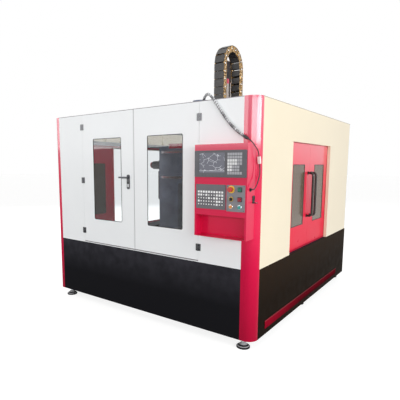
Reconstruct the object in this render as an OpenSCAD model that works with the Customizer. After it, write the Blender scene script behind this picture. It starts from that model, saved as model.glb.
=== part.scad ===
// CNC milling machine: bridge-type mill inside a sheet-metal enclosure with front and side doors.
// Millimetres. X to the right, Y to the back, Z up from the floor, origin under the middle.

/* [Enclosure] */
// width over the side panels
enclosure_w = 2520; // [2300:10:2900]
// depth over the front and rear panels
enclosure_d = 2800; // [2600:10:3100]
// height of the sheet metal
sheet_h = 2000; // [1950:10:2200]
// floor to the lower edge of the sheet metal
foot_h = 80; // [60:5:120]
// height of the black lower band
band_h = 610; // [500:10:620]
// sheet thickness
sheet_t = 2; // [1.5:0.5:3]
// depth of the folded panel edges
fold_d = 32; // [26:1:40]
// square tube of the upper frame
tube_s = 50; // [40:5:60]
// square tube of the base ring
base_s = 80; // [60:5:100]

/* [Corner posts] */
// radius of the right front post
post_r = 90; // [60:5:110]
// front face width of the right post
post_front = 124; // [112:2:150]
// radius of the left front post
left_post_r = 20; // [20:5:40]
// front face width of the left post
left_post_front = 58; // [44:2:80]
// side face width of both posts
post_side = 92; // [92:2:120]

/* [Feet] */
// pad diameter
pad_d = 116; // [80:2:140]
// stud diameter
stud_d = 24; // [16:2:36]
// distance of the feet from the side panels
foot_in_x = 115; // [90:5:140]
// distance of the feet from the front and rear panels
foot_in_y = 62; // [60:1:90]

/* [Front doors] */
// width of one door leaf
leaf_w = 758; // [650:2:760]
// middle of the doors from the middle of the machine
door_cx = -45; // [-60:1:-30]
// gap around and between the leaves
door_gap = 4; // [3:0.5:8]
// height of the sill strip under the doors
sill_h = 14; // [10:1:30]
// depth of a door leaf
door_t = 36; // [30:1:40]
// window width
window_w = 410; // [300:5:500]
// window height
window_h = 850; // [600:5:950]
// lower edge of the windows from the floor
window_z = 965; // [900:5:1000]
// window corner radius
window_r = 12; // [5:1:40]
// pane thickness
pane_t = 6; // [4:1:10]
// how far a pane reaches behind the sheet
pane_lap = 20; // [10:1:30]

/* [Hinges] */
// hinge height
hinge_h = 62; // [40:2:80]
// hinge width
hinge_w = 48; // [40:2:56]
// knuckle radius
knuckle_r = 7; // [6:0.5:9]
// radial clearance of the hinge pin
pin_gap = 0.3; // [0.3:0.05:0.5]

/* [Door lever] */
// lever axis from the seam of the doors
lever_in = 76; // [60:2:100]
// lever height from the floor
lever_z = 1421; // [1200:1:1500]
// lever length
lever_l = 100; // [80:2:130]
// lever diameter
lever_d = 17; // [14:1:22]

/* [Side doors] */
// middle of the doorway from the front panel
side_door_y = 1345; // [1300:5:1400]
// width of the doorway
side_open_w = 1190; // [1000:10:1240]
// top of the doorway from the floor
side_open_top = 1760; // [1700:5:1800]
// recess of the leaves behind the side panel
leaf_recess = 36; // [36:1:42]
// thickness of a sliding leaf
slide_t = 30; // [24:1:36]
// window width
side_window_w = 324; // [200:2:350]
// window height
side_window_h = 610; // [400:5:700]
// lower edge of the windows from the floor
side_window_z = 936; // [880:2:1000]
// window edge from the seam
side_window_in = 156; // [140:2:180]
// how far each left door stands open at rest
left_open = 500; // [0:10:500]

/* [Pull handles] */
// bar diameter
bar_d = 24; // [18:1:30]
// bar axis from the leaf
bar_off = 56; // [46:1:70]
// height of the lower leg from the floor
bar_z = 1012; // [950:2:1100]
// distance between the legs
bar_l = 450; // [300:5:500]
// bar axis from the seam
bar_in = 47; // [40:1:60]

/* [Control box] */
// box width
box_w = 482; // [440:2:482]
// box height
box_h = 756; // [740:2:790]
// depth in front of the panel
box_d = 115; // [100:1:130]
// lower edge from the floor
box_z = 954; // [920:2:960]
// right face from the right side panel
box_in = 26; // [20:1:40]
// wall thickness of the box
box_t = 3; // [2:0.5:4]
// height of the open tray
tray_h = 176; // [120:2:176]
// depth of the open tray
tray_d = 96; // [60:1:98]
// key columns of the operator keys
key_cols = 10; // [8:1:10]
// key rows of the operator keys
key_rows = 5; // [4:1:5]
// stop button diameter
stop_d = 38; // [30:1:40]
// round button diameter
push_d = 26; // [20:1:30]
// radial clearance of the buttons
push_gap = 0.4; // [0.3:0.05:0.6]
// height of the stop button over its plate
stop_h = 32; // [28:1:36]

/* [Machine] */
// table width
table_w = 800; // [600:10:860]
// table length
table_l = 900; // [700:10:960]
// table top from the floor
table_z = 740; // [735:5:745]
// number of T-slots
slot_n = 5; // [3:2:5]
// T-slot neck width
slot_w = 18; // [14:1:22]
// half span between the columns
column_in = 550; // [520:5:580]
// column width
column_w = 320; // [260:5:330]
// underside of the crossbeam
beam_z = 1300; // [1290:5:1310]
// height of the crossbeam
beam_h = 500; // [490:5:510]
// running clearance of the guide blocks
guide_gap = 0.4; // [0.3:0.05:0.6]
// ram half width
ram_hw = 150; // [130:5:160]
// spindle nose diameter
nose_d = 88; // [70:2:110]
// radial clearance of the spindle shaft
spindle_gap = 0.05; // [0.02:0.01:0.08]

/* [Drag chain] */
// link pitch
link_p = 84; // [80:1:86]
// link width
link_w = 120; // [100:2:130]
// link height
link_h = 64; // [56:1:66]
// links in the moving leg
links_up = 13; // [12:1:13]

/* [Hidden] */
$fn = 48;
hw = enclosure_w / 2;
stop_out = stop_h + 5;
yf = -(enclosure_d - box_d - stop_out) / 2;
yr = yf + enclosure_d;
z0 = foot_h;
zb = foot_h + band_h;
zt = foot_h + sheet_h;
gap = 0.4;
door_z = zb + sill_h;
hinge_l = door_cx - leaf_w - door_gap;
hinge_r = door_cx + leaf_w + door_gap;
hinge_zs = [door_z + 120, (door_z + zt) / 2 - 14, zt - 132];
axis_y = yf - knuckle_r - 1;
cy = yf + side_door_y;
half_open = side_open_w / 2;
leaf_l = half_open + 28;
leaf_z0 = zb + 4;
leaf_z1 = side_open_top + 28;
leaf_x = hw - leaf_recess;
track_x0 = leaf_x - slide_t - guide_gap - 2;
track_x1 = leaf_x + guide_gap + 2;
bx1 = hw - box_in;
bx0 = bx1 - box_w;
by = yf - box_d;
bz1 = box_z + box_h;
port_z = box_z + 296;
cnc_z0 = bz1 - 263;
cnc_z1 = bz1 - 50;
plate_t = 5;
cnc_t = 10;
pk_z0 = bz1 - 522;
pk_z1 = bz1 - 322;
ax0 = bx0 + 18;
ax1 = bx0 + 298;
bt0 = bx0 + 307;
bt1 = bx0 + 468;
col_a = bx0 + 349;
col_b = bx0 + 425;
row_1 = bz1 - 356;
row_2 = bz1 - 432;
row_3 = bz1 - 492;
bed_y0 = yf + 300;
bed_y1 = yf + 1950;
bed_z0 = z0 + base_s;
bed_z1 = table_z - 150;
rail_w = 34;
rail_h = 28;
y_rail_x = 280;
col_y0 = yf + 1400;
col_y1 = yf + 1820;
beam_y0 = yf + 1400;
beam_y1 = yf + 1800;
beam_top = beam_z + beam_h;
col_out = column_in + column_w;
cover_x = col_out - 180;
x_rail_zs = [beam_z + 80, beam_z + beam_h - 80];
sad_y1 = beam_y0 - 34;
sad_y0 = sad_y1 - 80;
sad_hw = 270;
sad_z0 = beam_z + 10;
sad_z1 = beam_top + 72;
ram_y1 = sad_y0 - 34;
ram_y0 = ram_y1 - 262;
ram_z0 = beam_z + 30;
ram_z1 = beam_top + 190;
sp_y = (ram_y0 + ram_y1) / 2;
house_z = ram_z0 - 130;
z_rail_x = 100;
chain_x = 281;
arc_n = 7;
arc_r = link_p / (2 * sin(90 / arc_n));
chain_y = yf + 1265;
chain_z = beam_top + 860;
links_down = 9;
link_n = links_up + arc_n + links_down;
cover_gap = 0.4;
foot_low = chain_z - links_up * link_p;
rear_low = chain_z - links_down * link_p;
post_top = beam_top + 740;
bell_h = foot_h - 34;
y_seats = [yf + foot_in_y, yf + enclosure_d / 2, yr - foot_in_y];
cross_ys = [yf + 420, yf + 900, col_y0 + 20, col_y1 - base_s - 20];
loom_r = 9.5;
lead_r = 4;
loom_points = [[690, 107, 2065], [692, 104, 2086], [708, 84, 2106], [742, 48, 2121], [780, 16, 2128],
  [815, -6, 2122], [842, -15, 2102], [866, -14, 2074], [892, -13, 2038], [945, -13, 1966],
  [1002, -13, 1892], [1075, -15, 1822], [1138, -22, 1778], [1186, -40, 1752]];
lead_points = [[1188, -41, 1751], [1214, -54, 1738], [1240, -52, 1716], [1250, -30, 1690],
  [1258, 0, 1660], [1261, 14, 1634], [1261, 21, 1608], [1261, 35, 1556], [1261, 42, 1530],
  [1263, 42, 1500], [1264, 34, 1462], [1266, 10, 1424], [1268, -24, 1386], [1263, -52, 1360],
  [1249, -62, 1354]];
plug_at = [1261, 28, 1582];

// block between two corners
module bar(a, b) {
  translate(a) cube(b - a);
}

// folded sheet with its face at the low Y side
module pan_front(a, b) {
  difference() {
    bar(a, b);
    bar(a + [sheet_t, sheet_t, sheet_t], b + [-sheet_t, 1, -sheet_t]);
  }
}

// folded sheet with its face at the high X side
module pan_right(a, b) {
  difference() {
    bar(a, b);
    bar([a.x - 1, a.y + sheet_t, a.z + sheet_t], [b.x - sheet_t, b.y - sheet_t, b.z - sheet_t]);
  }
}

// both sides of the machine
module both() {
  children();
  mirror([1, 0, 0]) children();
}

// block with rounded vertical corners seen from the front
module round_block(x0, x1, y0, y1, z0, z1, r) {
  translate([0, y1, 0]) rotate([90, 0, 0]) linear_extrude(y1 - y0) {
    translate([x0 + r, z0]) square([x1 - x0 - 2 * r, z1 - z0]);
    translate([x0, z0 + r]) square([x1 - x0, z1 - z0 - 2 * r]);
    for (x = [x0 + r, x1 - r], z = [z0 + r, z1 - r]) translate([x, z]) circle(r);
  }
}

// cylinder along Y
module rod_y(x, y0, y1, z, r) {
  translate([x, y1, z]) rotate([90, 0, 0]) cylinder(h = y1 - y0, r = r);
}

// cylinder along X
module rod_x(x0, x1, y, z, r) {
  translate([x0, y, z]) rotate([0, 90, 0]) cylinder(h = x1 - x0, r = r);
}

module enclosure_frame() {
  color("dimgray") {
    // base ring and cross members
    both() bar([hw - fold_d - base_s, yf + fold_d, z0], [hw - fold_d, yr - fold_d, z0 + base_s]);
    xi = hw - fold_d - base_s - gap;
    for (y = concat([yf + fold_d, yr - fold_d - base_s], cross_ys))
      bar([-xi, y, z0], [xi, y + base_s, z0 + base_s]);
    // corner uprights
    xo = hw - fold_d - 30;
    both() for (y = [yf + fold_d + 30, yr - fold_d - 30 - tube_s])
      bar([xo - tube_s, y, z0 + base_s + gap], [xo, y + tube_s, zt - tube_s - gap]);
    // rails under and over the side doors
    yi = yf + fold_d + 30 + tube_s + gap;
    yj = yr - fold_d - 30 - tube_s - gap;
    both() bar([track_x0 - 20, yi, zb - tube_s], [hw - fold_d - 2, yj, zb - gap]);
    both() bar([track_x0 - 20, yi, leaf_z1 + 6], [hw - fold_d - 2, yj, leaf_z1 + tube_s]);
    // sill and rear rail
    bar([gap + tube_s - xo, yf + fold_d + 10, zb - tube_s], [xo - tube_s - gap, yf + fold_d + 62, zb - gap]);
    bar([gap + tube_s - xo, yr - fold_d - tube_s, zb - tube_s], [xo - tube_s - gap, yr - fold_d, zb - gap]);
    // top ring
    both() bar([hw - fold_d - tube_s - 30, yf + door_t + 6, zt - tube_s],
      [hw - fold_d, yr - fold_d, zt - 2]);
    xt = hw - fold_d - tube_s - 30 - gap;
    bar([-xt, yf + door_t + 6, zt - tube_s], [xt, yf + door_t + 6 + tube_s, zt - 2]);
    bar([-xt, yr - fold_d - tube_s, zt - tube_s], [xt, yr - fold_d, zt - 2]);
    // uprights beside the front doors
    for (x = [hinge_l - 30 - tube_s, hinge_r + 30])
      bar([x, yf + door_t + 6, zb], [x + tube_s, yf + door_t + 6 + tube_s, zt - tube_s - gap]);
  }
}

module foot_studs() {
  color("silver") both() for (y = y_seats) translate([hw - foot_in_x, y, bell_h]) {
    cylinder(h = z0 - bell_h, d = stud_d);
    translate([0, 0, z0 - bell_h - 20]) cylinder(h = 16, d = stud_d * 1.75, $fn = 6);
  }
}

module foot_pads() {
  color("black") both() for (y = y_seats) translate([hw - foot_in_x, y, 0]) {
    cylinder(h = 12, d = pad_d);
    translate([0, 0, 11]) cylinder(h = 11, d1 = pad_d, d2 = pad_d * 0.78);
    translate([0, 0, 21]) cylinder(h = bell_h - 21, d1 = pad_d * 0.78, d2 = stud_d + 8);
  }
}

module lower_skirts() {
  color("black") {
    pan_front([-hw + left_post_front, yf, z0], [hw - post_front, yf + fold_d, zb]);
    both() pan_right([hw - fold_d, yf + post_side, z0], [hw, yr - fold_d - gap, zb]);
    translate([0, yf + yr, 0]) mirror([0, 1, 0]) pan_front([-hw, yf, z0], [hw, yf + fold_d, zb]);
  }
}

// bent post, corner at the high X and low Y side
module post(r, front, side) {
  linear_extrude(sheet_h) difference() {
    union() {
      translate([-front, 0]) square([front - r, 3]);
      translate([-3, r]) square([3, side - r]);
      intersection() {
        translate([-r, r]) circle(r);
        translate([-r, 0]) square([r, r]);
      }
    }
    translate([-r, r]) circle(r - 3);
  }
}

module corner_posts() {
  color("crimson") {
    translate([hw, yf, z0]) post(post_r, post_front, post_side);
    translate([-hw, yf, z0]) mirror([1, 0, 0]) post(left_post_r, left_post_front, post_side);
  }
}

module front_surround() {
  color("whitesmoke") {
    pan_front([-hw + left_post_front, yf, zb], [hinge_l, yf + fold_d, zt]);
    pan_front([hinge_r, yf, zb], [hw - post_front, yf + fold_d, zt]);
    pan_front([hinge_l - 1, yf, zb], [hinge_r + 1, yf + fold_d, door_z - door_gap]);
  }
}

module side_panels() {
  color("linen") both() {
    pan_right([hw - fold_d, yf + post_side, zb], [hw, cy - half_open, zt]);
    pan_right([hw - fold_d, cy + half_open, zb], [hw, yr - fold_d, zt]);
    pan_right([hw - fold_d, cy - half_open - 1, side_open_top], [hw, cy + half_open + 1, zt]);
  }
}

module rear_panels() {
  color("whitesmoke") translate([0, yf + yr, 0]) mirror([0, 1, 0]) difference() {
    pan_front([-hw, yf, zb], [hw, yf + fold_d, zt]);
    for (x = [-900, -300, 300, 900], i = [0:9])
      bar([x - 130, yf - 1, zt - 420 + i * 26], [x + 130, yf + sheet_t + 1, zt - 410 + i * 26]);
  }
}

module side_trims() {
  color("crimson") both() bar([hw, yf + 232, z0 + 52], [hw + 4, yr - 370, z0 + 124]);
}

// half of a block hinge; s = 1 is the half on the high X side of its axis
module hinge_half(s, own, other_gap) {
  w = hinge_w / 2;
  h = hinge_h / 2;
  k = hinge_h / 6;
  mirror([s > 0 ? 0 : 1, 0, 0]) difference() {
    union() {
      bar([knuckle_r + 0.6, knuckle_r - 4, -h], [w, knuckle_r + 1, h]);
      for (z = own) translate([0, 0, z[0] * k]) {
        cylinder(h = (z[1] - z[0]) * k, r = knuckle_r);
        bar([0, knuckle_r - 4, 0], [knuckle_r + 1, knuckle_r, (z[1] - z[0]) * k]);
      }
    }
    if (other_gap > 0) translate([0, 0, -h - 1]) cylinder(h = hinge_h + 2, r = 3 + other_gap);
  }
}

module hinge_bases() {
  color("dimgray") for (z = hinge_zs, s = [-1, 1]) {
    translate([s > 0 ? hinge_r : hinge_l, axis_y, z]) {
      hinge_half(s, [[-3, -1], [1, 3]], 0);
      translate([0, 0, -hinge_h / 2]) cylinder(h = hinge_h, r = 3);
    }
  }
}

module hinge_door_halves(s) {
  color("dimgray") for (z = hinge_zs)
    translate([s > 0 ? hinge_r : hinge_l, axis_y, z]) hinge_half(-s, [[-0.96, 0.96]], pin_gap);
}

module left_hinge_halves() {
  hinge_door_halves(-1);
}

module right_hinge_halves() {
  hinge_door_halves(1);
}

// front door leaf between two X values
module door_leaf(x0) {
  wx = x0 + (leaf_w - window_w) / 2;
  color("whitesmoke") difference() {
    pan_front([x0, yf, door_z], [x0 + leaf_w, yf + door_t, zt]);
    round_block(wx, wx + window_w, yf - 1, yf + sheet_t + 1, window_z, window_z + window_h, window_r);
  }
}

module door_pane(x0) {
  wx = x0 + (leaf_w - window_w) / 2;
  color("lightsteelblue", 0.4) bar([wx - pane_lap, yf + sheet_t, window_z - pane_lap],
    [wx + window_w + pane_lap, yf + sheet_t + pane_t, window_z + window_h + pane_lap]);
}

module left_door() {
  door_leaf(hinge_l + door_gap / 2);
}

module left_window() {
  door_pane(hinge_l + door_gap / 2);
}

module right_door() {
  door_leaf(hinge_r - door_gap / 2 - leaf_w);
}

module right_window() {
  door_pane(hinge_r - door_gap / 2 - leaf_w);
}

module lever_plate() {
  x = door_cx - lever_in;
  color("dimgray") difference() {
    union() {
      round_block(x - 18, x + 18, yf - 8, yf, lever_z - 116, lever_z + 29, 17);
      rod_y(x, yf - 11, yf - 7, lever_z - 62, 9);
    }
    rod_y(x, yf - 9, yf - 1, lever_z, 6 + pin_gap);
  }
}

module door_lever() {
  x = door_cx - lever_in;
  yl = yf - 34;
  color("dimgray") {
    rod_y(x, yf - 18, yf - 8.4, lever_z, 13);
    rod_y(x, yl, yf - 1.5, lever_z, 6);
    rod_x(x - lever_l, x, yl, lever_z, lever_d / 2);
    translate([x, yl, lever_z]) sphere(lever_d / 2);
    translate([x - lever_l, yl, lever_z]) sphere(lever_d / 2);
  }
}

module door_tracks() {
  ya = cy - leaf_l - 520;
  yb = cy + leaf_l + 520;
  color("crimson") both() for (t = [0, 1]) {
    za = t == 0 ? zb : leaf_z1 - 16;
    zc = t == 0 ? zb + 18 : leaf_z1 + 6;
    difference() {
      bar([track_x0, ya, za], [track_x1, yb, zc]);
      bar([track_x0 + 2, ya - 1, t == 0 ? za + 4 - guide_gap : za - 1],
        [track_x1 - 2, yb + 1, t == 0 ? zc + 1 : zc - 4]);
    }
  }
}

// rear leaf of the right doorway, closed
module slide_leaf() {
  y0 = cy + 1;
  wy = cy + side_window_in;
  color("crimson") difference() {
    pan_right([leaf_x - slide_t, y0, leaf_z0], [leaf_x, cy + leaf_l, leaf_z1]);
    bar([leaf_x - sheet_t - 1, wy, side_window_z],
      [leaf_x + 1, wy + side_window_w, side_window_z + side_window_h]);
  }
}

module slide_pane() {
  wy = cy + side_window_in;
  color("gray") bar([leaf_x - sheet_t - pane_t, wy - pane_lap, side_window_z - pane_lap],
    [leaf_x - sheet_t, wy + side_window_w + pane_lap, side_window_z + side_window_h + pane_lap]);
}

module pull_handle() {
  r = 30;
  color("black") translate([leaf_x, cy + bar_in, bar_z]) {
    translate([bar_off, 0, r]) cylinder(h = bar_l - 2 * r, d = bar_d);
    for (t = [0, 1]) translate([0, 0, t * bar_l]) mirror([0, 0, t]) {
      rod_x(0, bar_off - r, 0, 0, bar_d / 2);
      rod_x(0, 4, 0, 0, bar_d / 2 + 6);
      translate([bar_off - r, 0, r]) rotate([90, 0, 0]) rotate([0, 0, -90])
        rotate_extrude(angle = 90) translate([r, 0]) circle(d = bar_d);
    }
  }
}

// front leaf from the rear one
module front_of() {
  translate([0, 2 * cy, 0]) mirror([0, 1, 0]) children();
}

// left doorway, with the leaf slid open
module left_of(move) {
  translate([0, move, 0]) mirror([1, 0, 0]) children();
}

module right_rear_leaf() {
  slide_leaf();
}

module right_rear_pane() {
  slide_pane();
}

module right_rear_handle() {
  pull_handle();
}

module right_front_leaf() {
  front_of() slide_leaf();
}

module right_front_pane() {
  front_of() slide_pane();
}

module right_front_handle() {
  front_of() pull_handle();
}

module left_rear_leaf() {
  left_of(left_open) slide_leaf();
}

module left_rear_pane() {
  left_of(left_open) slide_pane();
}

module left_rear_handle() {
  left_of(left_open) pull_handle();
}

module left_front_leaf() {
  left_of(-left_open) front_of() slide_leaf();
}

module left_front_pane() {
  left_of(-left_open) front_of() slide_pane();
}

module left_front_handle() {
  left_of(-left_open) front_of() pull_handle();
}

// chip trays between the bed and the side walls
module chip_pans() {
  xi = table_w / 2 + 6;
  xo = track_x0 - 22;
  color("gray") both() for (y = [[yf + 120, col_y0 - 2], [col_y1 + 2, yr - 120]]) {
    translate([0, y[1], 0]) rotate([90, 0, 0]) linear_extrude(y[1] - y[0])
      polygon([[xi - 16, bed_z1 - 260], [xo, zb - 130], [xo, zb - 30], [xo + 2, zb - 30], [xo + 2, zb - 132],
        [xi - 16, bed_z1 - 263]]);
  }
}

module control_box() {
  tz1 = box_z + 5 + tray_h;
  color("crimson") {
    difference() {
      bar([bx0, by, box_z], [bx1, yf, bz1]);
      bar([bx0 + box_t, by + box_t, tz1 + 6], [bx1 - box_t, yf + 1, bz1 - box_t]);
      bar([bx0 + 16, by - 1, box_z + 5], [bx1 - 16, by + tray_d, tz1]);
      bar([bx0 + 24, by - 1, cnc_z0 + 14], [bx1 - 24, by + box_t + 1, cnc_z1 - 14]);
      bar([ax0 + 14, by - 1, pk_z0 + 14], [ax1 - 14, by + box_t + 1, pk_z1 - 14]);
      bar([bt0 + 10, by - 1, pk_z0 + 4], [bt1 - 10, by + box_t + 1, pk_z1 - 10]);
    }
    // side flange that meets the round post
    difference() {
      bar([bx1 - 16, yf - 1, box_z], [bx1, yf + 40, bz1]);
      translate([hw - post_r, yf + post_r, box_z - 1]) cylinder(h = box_h + 2, r = post_r, $fn = 96);
      bar([bx1 - 40, yf + 27, box_z - 1], [bx1 + 1, yf + 60, bz1 + 1]);
    }
  }
}

module cnc_panel() {
  color("dimgray") difference() {
    round_block(bx0 + 5, bx1 - 5, by - cnc_t, by, cnc_z0, cnc_z1, 6);
    bar([bx0 + 48, by - cnc_t - 1, cnc_z0 + 34], [bx0 + 288, by - cnc_t + 6, cnc_z1 - 18]);
  }
}

module cnc_screen() {
  color("lightsteelblue") bar([bx0 + 48, by - cnc_t + 3, cnc_z0 + 34],
    [bx0 + 288, by - cnc_t + 6, cnc_z1 - 18]);
}

module key_panel() {
  color("gray") round_block(ax0, ax1, by - plate_t, by, pk_z0, pk_z1, 4);
}

// raised keys of the screen unit and of the operator panel
module panel_keys() {
  color("lightgray") {
    for (i = [0:5], j = [0:6])
      bar([bx0 + 314 + i * 21.5, by - cnc_t - 2, cnc_z0 + 24 + j * 24.5],
        [bx0 + 332 + i * 21.5, by - cnc_t, cnc_z0 + 44 + j * 24.5]);
    for (i = [0:6])
      bar([bx0 + 54 + i * 33, by - cnc_t - 2, cnc_z0 + 10], [bx0 + 80 + i * 33, by - cnc_t, cnc_z0 + 24]);
    for (i = [0:key_cols - 1], j = [0:key_rows - 1])
      bar([ax0 + 20 + i * 24.8, by - plate_t - 2, pk_z0 + 29 + j * 25.5],
        [ax0 + 36 + i * 24.8, by - plate_t, pk_z0 + 45 + j * 25.5]);
  }
}

module button_plate() {
  color("gray") difference() {
    round_block(bt0, bt1, by - plate_t, by, pk_z0 - 8, pk_z1, 4);
    for (z = [row_1, row_2, row_3], x = [col_a, col_b])
      rod_y(x, by - plate_t - 1, by + 1, z, 10 + push_gap);
  }
}

// stem of a button that runs in the plate
module stem(x, z) {
  rod_y(x, by - plate_t - 8, by + 20, z, 10);
}

module stop_button() {
  color("red") {
    stem(col_a, row_1);
    rod_y(col_a, by - plate_t - stop_h, by - plate_t - 14, row_1, stop_d / 2);
    rod_y(col_a, by - plate_t - 14.5, by - plate_t - 7, row_1, 13);
  }
}

module key_switch() {
  color("black") {
    rod_y(col_a, by - plate_t - 0.4, by + 20, row_2, 10);
    rod_y(col_a, by - plate_t - 8, by - plate_t - 0.4, row_2, 14);
    bar([col_a - 4, by - plate_t - 22, row_2 - 13], [col_a + 4, by - plate_t - 7, row_2 + 13]);
  }
}

// push cap with a square or a round face
module square_push(x, z) {
  stem(x, z);
  round_block(x - 14, x + 14, by - plate_t - 12, by - plate_t - 5, z - 14, z + 14, 3);
}

module round_push(x, z) {
  stem(x, z);
  rod_y(x, by - plate_t - 12, by - plate_t - 5, z, push_d / 2);
}

module power_on_button() {
  color("green") square_push(col_b, row_1);
}

module power_off_button() {
  color("red") square_push(col_b, row_2);
}

module hold_button() {
  color("orange") round_push(col_a, row_3);
}

module start_button() {
  color("teal") round_push(col_b, row_3);
}

// socket of the lead on the right side of the box, a service port below it with its cover
// folded down, and the gland of the loom behind the top rail
module cable_sockets() {
  color("black") {
    rod_x(bx1, bx1 + 4, yf - 62, box_z + 400, 15);
    rod_x(bx1, bx1 + 14, yf - 62, box_z + 400, 9);
    difference() {
      bar([bx1, yf - 22, port_z], [bx1 + 5, yf + 14, port_z + 54]);
      bar([bx1 + 1.5, yf - 15, port_z + 10], [bx1 + 6, yf + 7, port_z + 46]);
    }
    bar([bx1, yf - 22, port_z - 4], [bx1 + 34, yf + 14, port_z + 0.5]);
    ry = yf + door_t + 6 + tube_s;
    bar([loom_points[0].x - 18, ry, zt - tube_s + 4], [loom_points[0].x + 18, ry + 30, zt - 22]);
    translate([loom_points[0].x, yf + 107, zt - 23]) cylinder(h = 7.5, r = 13);
  }
}

// smooth curve through hand-set points
function curve(p, i, t) =
  let (n = len(p) - 1, a = p[max(i - 1, 0)], b = p[i], c = p[min(i + 1, n)], d = p[min(i + 2, n)])
  0.5 * (2 * b + (c - a) * t + (2 * a - 5 * b + 4 * c - d) * t * t
    + (3 * b - a - 3 * c + d) * t * t * t);
function route(p, k) =
  [for (i = [0:len(p) - 2], j = [0:k - 1]) curve(p, i, j / k), p[len(p) - 1]];
function unit(v) = v / norm(v);

// round tube along a route, ten sides
module tube(pts, r) {
  m = 10;
  n = len(pts);
  dirs = [for (i = [0:n - 1]) unit(pts[min(i + 1, n - 1)] - pts[max(i - 1, 0)])];
  ring = [for (i = [0:n - 1]) let (s = unit(cross(dirs[i], [0.3, 1, 0.1])), q = cross(dirs[i], s))
    for (j = [0:m - 1]) pts[i] + r * (cos(360 * j / m) * s + sin(360 * j / m) * q)];
  walls = [for (i = [0:n - 2], j = [0:m - 1])
    [i * m + j, i * m + (j + 1) % m, (i + 1) * m + (j + 1) % m, (i + 1) * m + j]];
  ends = [[for (j = [m - 1:-1:0]) j], [for (j = [0:m - 1]) (n - 1) * m + j]];
  polyhedron(points = ring, faces = concat(walls, ends));
}

module loom_tube() {
  color("darkgray") translate([0, yf, 0]) tube(route(loom_points, 4), loom_r);
}

module lead_tube() {
  color("black") translate([0, yf, 0]) tube(route(lead_points, 3), lead_r);
}

module lead_connector() {
  color("white") translate(plug_at + [0, yf, 0]) rotate([15, 0, 0]) difference() {
    cube([20, 20, 56], center = true);
    cube([10, 10, 60], center = true);
  }
}

module machine_bed() {
  color("dimgray") difference() {
    bar([-table_w / 2 + 10, bed_y0, bed_z0], [table_w / 2 - 10, bed_y1, bed_z1]);
    // chip channel between the ways
    bar([-150, bed_y0 - 1, bed_z1 - 120], [150, bed_y1 + 1, bed_z1 + 1]);
  }
}

// rails of the table and of the saddle
module guide_rails() {
  color("silver") {
    both() bar([y_rail_x - rail_w / 2, bed_y0 + 20, bed_z1],
      [y_rail_x + rail_w / 2, bed_y1 - 20, bed_z1 + rail_h]);
    for (z = x_rail_zs)
      bar([-col_out + 60, beam_y0 - rail_h, z - rail_w / 2], [col_out - 60, beam_y0, z + rail_w / 2]);
  }
}

module columns() {
  color("dimgray") both() difference() {
    bar([column_in, col_y0, bed_z0], [col_out, col_y1, beam_z]);
    bar([column_in + 40, col_y0 + 40, bed_z0 + 40], [col_out - 40, col_y1 - 40, beam_z - 40]);
  }
}

module crossbeam() {
  color("dimgray") difference() {
    bar([-col_out, beam_y0, beam_z], [col_out, beam_y1, beam_top]);
    bar([-col_out + 40, beam_y0 + 40, beam_z + 40], [col_out - 40, beam_y1 - 40, beam_top - 40]);
  }
}

module beam_cover() {
  color("crimson") {
    bar([-cover_x, beam_y0 - 12, beam_top], [cover_x, beam_y1, beam_top + 28]);
    bar([-cover_x, beam_y0 - 12, beam_top - 34], [cover_x, beam_y0, beam_top + 1]);
  }
}

// servo motor along X with its flange at x0, pointing to low X
module servo() {
  bar([-14, -65, -65], [0, 65, 65]);
  rod_x(-150, -14, 0, 0, 58);
  rod_x(-190, -150, 0, 0, 44);
}

module axis_motors() {
  color("dimgray") {
    translate([-col_out, beam_y0 + 70, beam_z + 245]) servo();
    translate([0, bed_y1, bed_z1 - 190]) rotate([0, 0, -90]) servo();
  }
}

module work_table() {
  z1 = table_z;
  zu = bed_z1 + 50;
  p = table_w / (slot_n + 1);
  color("gray") difference() {
    union() {
      bar([-table_w / 2, sp_y - table_l / 2, zu], [table_w / 2, sp_y + table_l / 2, z1]);
      both() for (y = [sp_y - table_l / 2 + 40, sp_y + table_l / 2 - 180])
        bar([y_rail_x - 45, y, bed_z1 + 6], [y_rail_x + 45, y + 140, zu]);
    }
    both() bar([y_rail_x - rail_w / 2 - guide_gap, sp_y - table_l, bed_z1 - 1],
      [y_rail_x + rail_w / 2 + guide_gap, sp_y + table_l, bed_z1 + rail_h + guide_gap]);
    for (i = [1:slot_n]) translate([-table_w / 2 + i * p, 0, 0]) {
      bar([-slot_w / 2, sp_y - table_l, z1 - 34], [slot_w / 2, sp_y + table_l, z1 + 1]);
      bar([-slot_w / 2 - 7, sp_y - table_l, z1 - 34], [slot_w / 2 + 7, sp_y + table_l, z1 - 20]);
    }
  }
}

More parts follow.
